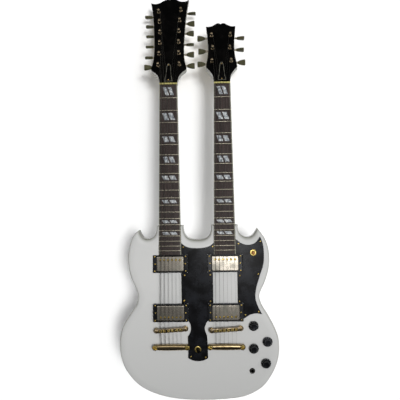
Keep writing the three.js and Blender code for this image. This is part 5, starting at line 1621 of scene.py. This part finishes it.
def keyButton():
    shape = keyShape
    rings = []
    for along, wide, thick in shape["stations"]:
        ring = []
        for i in range(shape["sides"]):
            angle = turn * i / shape["sides"]
            across, up = (math.copysign(abs(v) ** shape["squareness"], v)
                          for v in (math.cos(angle), math.sin(angle)))
            ring.append(Vector((along * shape["length"], across * wide * shape["width"] / 2,
                                up * thick * shape["thickness"] / 2)))
        rings.append(ring)
    return loft(between(rings, 2))


def makeKey(neck, post, where):
    tag = f"{neck['name']}_{where}_{post['number'] + 1}"
    node = "tuner_key_" + tag
    side = post["side"]
    start = tunerShape["keyStart"]
    place = (headFrame(neck)
             @ at(post["x"] + side * start, post["y"] + post["rise"], tunerShape["keyHeight"])
             @ turned(turn / 2 if side < 0 else 0) @ turned(post["turned"], "X"))
    reach = neck["buttonStart"] - start
    piece("key_button_" + tag, moved(keyButton(), at(reach)), place, "olive", body=node, replaces=[node])
    stem = lathe(keyShape["shaft"] + [(radius, reach + more) for radius, more in keyShape["collar"]], 28)
    piece("key_shaft_" + tag, moved(stem, turned(turn / 4, "Y")), place, "cover", body=node)


for neck in necks:
    makeTuners(neck)
print("tuners: 18")

# The covers over the truss rods: bare faces with a thin pale border.
trussShape = {
    "thickness": 2, "border": 0.8, "borderInset": 0.5, "borderDepth": 0.5, "wider": 0.3, "edge": 0.4,
    "lower": 0.1, "screws": (4.5, -5), "screwTurn": 0.4,
}


def makeTrussCover(neck):
    shape = trussShape
    name = neck["name"]
    place = headFrame(neck)
    top = seat + shape["thickness"]
    under = top - shape["lower"]
    outline = smoothed(wound(faceLoops("truss_rod_cover_" + name, place, top)[0], True), 1.2)
    cover = plate([inset(outline, -shape["wider"])], seat, under, shape["edge"], 3)
    piece("truss_cover_" + name, cover, place, "headplate", replaces=["truss_rod_cover_" + name])
    start = shape["borderInset"]
    rims = [inset(outline, start), inset(outline, start + shape["border"])]
    piece("truss_border_" + name, plate(rims, top - shape["borderDepth"], top, 0.05, 1), place, "binding")
    ys = [point.y for point in outline]
    places = [standing(place, 0, end + move, under, shape["screwTurn"])
              for end, move in zip((min(ys), max(ys)), shape["screws"])]
    scattered("truss_screws_" + name, screwShell("truss"), places, "gold")


for neck in necks:
    makeTrussCover(neck)

# Nuts keep their solids: only their finish is added.
for neck in necks:
    node = nodes["nut_" + neck["name"]]
    node.data.materials.clear()
    node.data.materials.append(looks["bone"][0])

# Knobs: a skirt with numbers, a fluted grip and a flat top.
knobShape = {
    "lift": 1.4, "shaft": (3, -11.2, 5, 24), "flutes": (144, 24, 0.35, (8, 9, 10, 11)),
    "profile": [(9.5, 4), (9.5, 0.1), (12.2, 0), (12.6, 0.4), (12.6, 1.6), (12.3, 2.2), (11.4, 2.7),
                (9.6, 3.3), (8.9, 3.8), (8.75, 4.6), (8.1, 10.6), (7.8, 12), (7.3, 12.7), (6.4, 13),
                (5.6, 12.7), (0.3, 12.6)],
    "numbers": 10, "numberSize": 2.3, "numberDepth": 0.06, "numberPlace": (0, 10.9, 2.98),
    "numberLean": -18, "start": -135, "sweep": 270,
}


def numberMesh(text):
    curve = bpy.data.curves.new("number", "FONT")
    curve.body = text
    curve.size = knobShape["numberSize"]
    curve.align_x = "CENTER"
    curve.align_y = "CENTER"
    curve.extrude = knobShape["numberDepth"]
    return evaluated(temporary(curve))


def makeKnob(name, x, y):
    shape = knobShape
    body = "knob_" + name
    place = bodyFrame @ at(x, y, face + shape["lift"])
    grip = lathe(shape["profile"], *shape["flutes"])
    piece("dial_" + name, grip, place, "black", body=body, replaces=[body])
    piece("dial_shaft_" + name, rod(*shape["shaft"]), place, "gold", body=body)
    numbers = []
    for number in range(shape["numbers"]):
        angle = (shape["start"] + shape["sweep"] * number / (shape["numbers"] - 1)) * degree
        numbers.append(numberMesh(str(number + 1)))
        numbers[-1].transform(place @ turned(-angle) @ at(*shape["numberPlace"])
                              @ turned(shape["numberLean"] * degree, "X"))
    piece("dial_numbers_" + name, joined(numbers), None, "white", body=body)


for name, (x, y) in fittings["knobs"].items():
    makeKnob(name, x, y)
print("knobs:", len(fittings["knobs"]))

# Potentiometers, socket and switches. Heights are from the cavity's floor or the face.
potShape = {
    "can": [(0.3, -10), (11.2, -10), (12, -9.2), (12, 0), (4.7, 0)],
    "bush": [(4.7, 2.8), (4.3, 3.2), (3.5, 3.2), (3.5, -12)],
    "nut": (7.4, 4.7, 2.2), "tag": (12, 4, 4, -12),
}


def makePot(name, x, y):
    under = layout["cavityTop"] - seat
    low = face + seat
    can = lathe(raised(potShape["can"], under) + raised(potShape["bush"], face), 40)
    outer, inner, tall = potShape["nut"]
    nut = plate([circle(outer, sides=6), circle(inner, sides=24)], low, low + tall, 0.3, 2)
    length, width, deep, aside = potShape["tag"]
    tag = block(length, width, under - deep, under, 0, aside)
    piece("pot_" + name, moved(merged(can, nut, tag), at(x, y)), bodyFrame, "gold",
          replaces=["potentiometer_" + name])


def raised(profile, level):
    return [(radius, level + height) for radius, height in profile]


jackShape = {
    "under": [(3.3, -2), (7.2, -1.6), (7.2, 0), (4.8, 0)],
    "over": [(4.8, 3.2), (4.5, 3.55), (3.7, 3.6), (3.3, 3.2)],
    "lobes": (72, 6, 6, 1.1), "bore": 4.9, "nut": (0.7, 2.6), "washer": 7.1,
    "strip": (2, 4), "stripSpan": (24, 1), "stripReach": 5.4, "lining": (3.28, 3.1, 3, 1.5),
}


def makeJack():
    shape = jackShape
    place = at(*fittings["jack"])
    under = layout["cavityTop"] - seat
    top = face + seat
    barrel = pierced(raised(shape["under"], under) + raised(shape["over"], top), 36)
    steps, lobes, reach, swing = shape["lobes"]
    angles = [turn * i / steps for i in range(steps)]
    lobed = [Vector((math.cos(a), math.sin(a))) * (reach + swing * math.cos(lobes * a)) for a in angles]
    nutLow, nutHigh = shape["nut"]
    nut = plate([lobed, circle(shape["bore"], sides=30)], top + nutLow, top + nutHigh, 0.4, 3)
    washer = plate([circle(shape["washer"]), circle(shape["bore"])], top, top + nutLow, 0.2, 2)
    low, high = shape["stripSpan"]
    strips = [block(*shape["strip"], under - low, under - high, side * shape["stripReach"], 0, 0.4)
              for side in (-1, 1)]
    piece("socket", moved(merged(barrel, nut, *strips), place), bodyFrame, "steel",
          replaces=["output_jack"])
    piece("socket_washer", moved(washer, place), bodyFrame, "black")
    outer, inner, above, deep = shape["lining"]
    high, low = top + above, under - deep
    lining = lathe([(outer, high), (outer, low), (inner, low), (inner, high)], 30)
    bottom = plate([circle(3.2, sides=24)], low, low + 0.3)
    piece("socket_lining", moved(merged(lining, bottom), place), bodyFrame, "black")


switchShape = {
    "pivotRise": 2.4, "ball": 4.45, "ballSpan": (-0.9, 1.1), "lever": 15.6, "tip": 10.5, "tipRadius": 4.3,
    "rodRadius": 1.9, "knurls": (144, 36, 0.28, (4, 5)), "frame": (30, 13, 23, 2),
    "ring": [(4.7, 3.3), (5.2, 1.9), (5.2, 0), (8.6, 0), (8.8, 0.4), (8.8, 2.1), (8.3, 3), (7.5, 3.4),
             (5.4, 3.4)],
    "bush": (4.6, 6, 1, 2), "foot": 1.2,
    # for each lever: the looks of its tip and rod, the heading of its axis and its tilt
    "levers": {"neck": ("headplate", "headplate", -45, 13), "pickup": ("amber", "brightGold", 45, 0)},
    # shares of the tip's radius, and heights from its foot
    "tipProfile": [(0.55, 0), (0.64, 0.5), (0.86, 2.6), (1, 5.2), (1, 7.6), (0.93, 9), (0.75, 9.9),
                   (0.5, 10.35)],
}


def makeSwitch(name, look, rodLook, heading, tilt):
    shape = switchShape
    here = at(*fittings["switches"][name])
    top = guardTop + seat
    inner, outer, below, above = shape["bush"]
    low, high = face - below, top + above
    bush = pierced([(inner, low), (outer, low), (outer, high), (inner, high)], 40)
    length, width, deep, shallow = shape["frame"]
    frameBox = block(length, width, face - deep, face - shallow, 0, 0, 0.8)
    ring = moved(pierced(shape["ring"], *shape["knurls"]), at(0, 0, top))
    piece("switch_" + name, moved(merged(ring, bush, frameBox), here), bodyFrame, "brightGold",
          replaces=[name + "_switch"])
    lever = name + "_switch_lever"
    axis = Vector((-math.sin(heading * degree), math.cos(heading * degree), 0))
    place = bodyFrame @ here @ at(z=face + shape["pivotRise"]) @ Matrix.Rotation(tilt * degree, 4, axis)
    ball, thin, foot = shape["ball"], shape["rodRadius"], shape["lever"] - shape["tip"]
    arc = [(ball * math.cos(a), ball * math.sin(a)) for a in np.linspace(*shape["ballSpan"], 12)]
    profile = [(0.3, -0.8 * ball), *arc, (thin, foot), (thin, foot + 1), (0.3, foot + shape["foot"])]
    piece("toggle_rod_" + name, lathe(profile), place, rodLook, body=lever)
    tip = [(share * shape["tipRadius"], foot + height) for share, height in shape["tipProfile"]]
    piece("toggle_tip_" + name, lathe([(0.3, foot), *tip, (0.3, foot + shape["tip"])], 36), place, look,
          body=lever, replaces=[lever])


for name, (x, y) in fittings["knobs"].items():
    makePot(name, x, y)
makeJack()
for name, lever in switchShape["levers"].items():
    makeSwitch(name, *lever)
print("controls made")

# The back: the cavity's cover with its screws, and the strap button.
backShape = {
    "plate": 2, "plateWider": 0.25, "plateEdge": 0.4, "screws": 6, "screwInset": 4.5, "screwStart": 0.3,
    "screwLevel": 0.55, "strap": (0, 196),
    "button": [(0.3, -18), (1.4, -16), (2, -14), (2, 0.3), (5, 0.3), (5.1, 1), (4.2, 3), (3.85, 5),
               (3.9, 7), (4.8, 9), (6.6, 10.3), (7, 10.9), (7, 12), (6.6, 12.5), (5, 12.9), (3.2, 13),
               (2.6, 12.4), (0.3, 12.3)],
}


def makeBack():
    shape = backShape
    behind = turned(turn / 2, "X")
    outline = smoothed(wound(faceLoops("control_cover", bodyFrame, 0)[0], True))
    shell = plate([inset(outline, -shape["plateWider"])], 0, shape["plate"], 0, 3, shape["plateEdge"])
    piece("cavity_cover", shell, bodyFrame, "black", replaces=["control_cover"])
    ring = inset(outline, shape["screwInset"])
    places = []
    for k in range(shape["screws"]):
        point = ring[int((k + shape["screwStart"]) * len(ring) / shape["screws"])]
        places.append(bodyFrame @ at(point.x, point.y, shape["screwLevel"]) @ behind @ turned(k))
    scattered("cavity_screws", screwShell("cavity"), places, "gold")
    piece("strap_stud", lathe(shape["button"], 40), bodyFrame @ at(*shape["strap"]) @ behind, "gold",
          replaces=["strap_button"])


makeBack()

# Stage: a pale wall behind the guitar, seen from its front only.
stageShape = {"wall": 0.112, "half": 4.0, "tone": (0.875, 0.875, 0.875, 1), "lift": 0.02}


def makeStage():
    made, graph = material("stage")
    camera = graph.add("ShaderNodeLightPath", out="Is Camera Ray")
    behind = graph.add("ShaderNodeNewGeometry", out="Backfacing")
    matt = graph.add("ShaderNodeBsdfDiffuse", {}, {"Color": stageShape["tone"]})
    glow = graph.add("ShaderNodeEmission", {}, {"Strength": camera * stageShape["lift"]})
    lit = graph.add("ShaderNodeAddShader", {}, {0: matt, 1: glow})
    clear = graph.add("ShaderNodeBsdfTransparent")
    graph.add("ShaderNodeOutputMaterial", {}, {
        "Surface": graph.add("ShaderNodeMixShader", {}, {0: behind, 1: lit, 2: clear})})
    wall, half = stageShape["wall"], stageShape["half"]
    corners = [(-half, wall, -half), (half, wall, -half), (half, wall, half), (-half, wall, half)]
    mesh = bpy.data.meshes.new("stage")
    mesh.from_pydata(corners, [], [(0, 1, 2, 3)])
    mesh.materials.append(made)
    stage = bpy.data.objects.new("stage", mesh)
    stage.visible_shadow = False
    bpy.context.scene.collection.objects.link(stage)


makeStage()

# The room round the guitar: even for matt surfaces, and for metal a dim front with a soft light
# overhead, a dark floor and a white wall behind. Each span is of a direction's share along an axis.
worldShape = {
    "ambient": 0.2, "front": 0.2, "back": 0.9, "overhead": 1.5, "side": 0.3, "floor": 0.02,
    "clouds": 3.2, "cloudSpan": (0.35, 0.65, 0.55, 1.5), "overheadSpans": ((0.36, 0.5), (0.8, 0.66)),
    "sideSpan": (0.55, 0.8), "floorSpan": (-0.12, -0.32), "backSpan": (-0.05, 0.3),
}


def makeWorld():
    shape = worldShape
    world = bpy.data.worlds.new("studio")
    world.use_nodes = True
    world.node_tree.nodes.clear()
    graph = Graph(world.node_tree)
    camera, glossy, through = (graph.add("ShaderNodeLightPath", out=k) for k in (
        "Is Camera Ray", "Is Glossy Ray", "Is Transmission Ray"))
    away = graph.add("ShaderNodeTexCoord", out="Generated")
    across, depth, height = (graph.axis(away, k) for k in range(3))
    clouds = graph.spread(graph.noise(away, shape["clouds"], 4), *shape["cloudSpan"])
    rising, falling = shape["overheadSpans"]
    overhead = graph.spread(height, *rising) * graph.spread(height, *falling)
    side = graph.spread(across, *shape["sideSpan"])
    lower = graph.spread(height, *shape["floorSpan"])
    front = shape["front"] * clouds * (1 - lower) + shape["floor"] * lower
    front = front + shape["overhead"] * overhead + shape["side"] * side
    behind = graph.spread(depth, *shape["backSpan"])
    shine = front * (1 - behind) + shape["back"] * behind
    mirrored = glossy + through * (1 - glossy)
    plain = shape["ambient"] * (1 - mirrored) + shine * mirrored
    strength = camera + plain * (1 - camera)
    background = graph.add("ShaderNodeBackground", {}, {"Color": (1, 1, 1, 1), "Strength": strength})
    graph.add("ShaderNodeOutputWorld", {}, {"Surface": background})
    bpy.context.scene.world = world


makeWorld()

lampSettings = {
    "key": {"kind": "SUN", "place": (0.83, -3, 0.41), "aim": (0, 0, 0.3), "size": 15 * degree, "power": 2.1,
            "glossy": False},
    "fill": {"kind": "SUN", "place": (1.1, -3, 0.5), "aim": (0, 0, 0.3), "size": 50 * degree, "power": 1.1,
             "glossy": False},
    "glare": {"kind": "AREA", "place": (0.15, -1.3, 0.04), "aim": (0.09, 0, 0.17), "size": 0.16,
              "power": 0.13, "diffuse": False},
    "halo": {"kind": "AREA", "place": (0.2, -1.32, 0.04), "aim": (0.09, 0, 0.17), "size": 0.4,
             "power": 0.31, "diffuse": False},
    "shine": {"kind": "AREA", "place": (0.1, -1.3, 0.25), "aim": (0.07, 0, 0.22), "size": 0.3,
              "power": 1.2, "diffuse": False},
    "back": {"kind": "AREA", "place": (-0.4, 2.6, 0.9), "aim": (0, 0, 0.25), "size": 2.2, "power": 60},
}


def makeLamps():
    for name, lamp in lampSettings.items():
        light = bpy.data.lights.new(name, lamp["kind"])
        light.energy = lamp["power"]
        if lamp["kind"] == "SUN":
            light.angle = lamp["size"]
        else:
            light.shape = "DISK"
            light.size = lamp["size"]
        made = bpy.data.objects.new(name, light)
        made.location = lamp["place"]
        towards = Vector(lamp["aim"]) - Vector(lamp["place"])
        made.rotation_euler = towards.to_track_quat("-Z", "Y").to_euler()
        made.visible_glossy = lamp.get("glossy", True)
        made.visible_diffuse = lamp.get("diffuse", True)
        bpy.context.scene.collection.objects.link(made)


makeLamps()

# The photograph's camera, in metres and radians. Its focal length is that of a 36 mm wide picture.
cameraSettings = {"place": (0.04182, -1.28747, 0.31598), "yaw": -0.0267262, "pitch": 0.0081089,
                  "roll": -0.0152686, "lens": 43.912, "sensor": 36}


def makeCamera():
    yaw, pitch, roll = (cameraSettings[k] for k in ("yaw", "pitch", "roll"))
    ahead = Vector((math.sin(yaw) * math.cos(pitch), math.cos(yaw) * math.cos(pitch), math.sin(pitch)))
    level = Vector((math.cos(yaw), -math.sin(yaw), 0))
    up = level.cross(ahead)
    right = math.cos(roll) * level + math.sin(roll) * up
    high = math.cos(roll) * up - math.sin(roll) * level
    camera = bpy.data.cameras.new("camera")
    camera.lens = cameraSettings["lens"]
    camera.sensor_width = cameraSettings["sensor"]
    made = bpy.data.objects.new("camera", camera)
    place = Matrix((right, high, -ahead)).transposed().to_4x4()
    place.translation = cameraSettings["place"]
    made.matrix_world = place
    bpy.context.scene.collection.objects.link(made)
    bpy.context.scene.camera = made


makeCamera()
bpy.context.scene.view_settings.view_transform = "Standard"
print("stage, lamps and camera set")
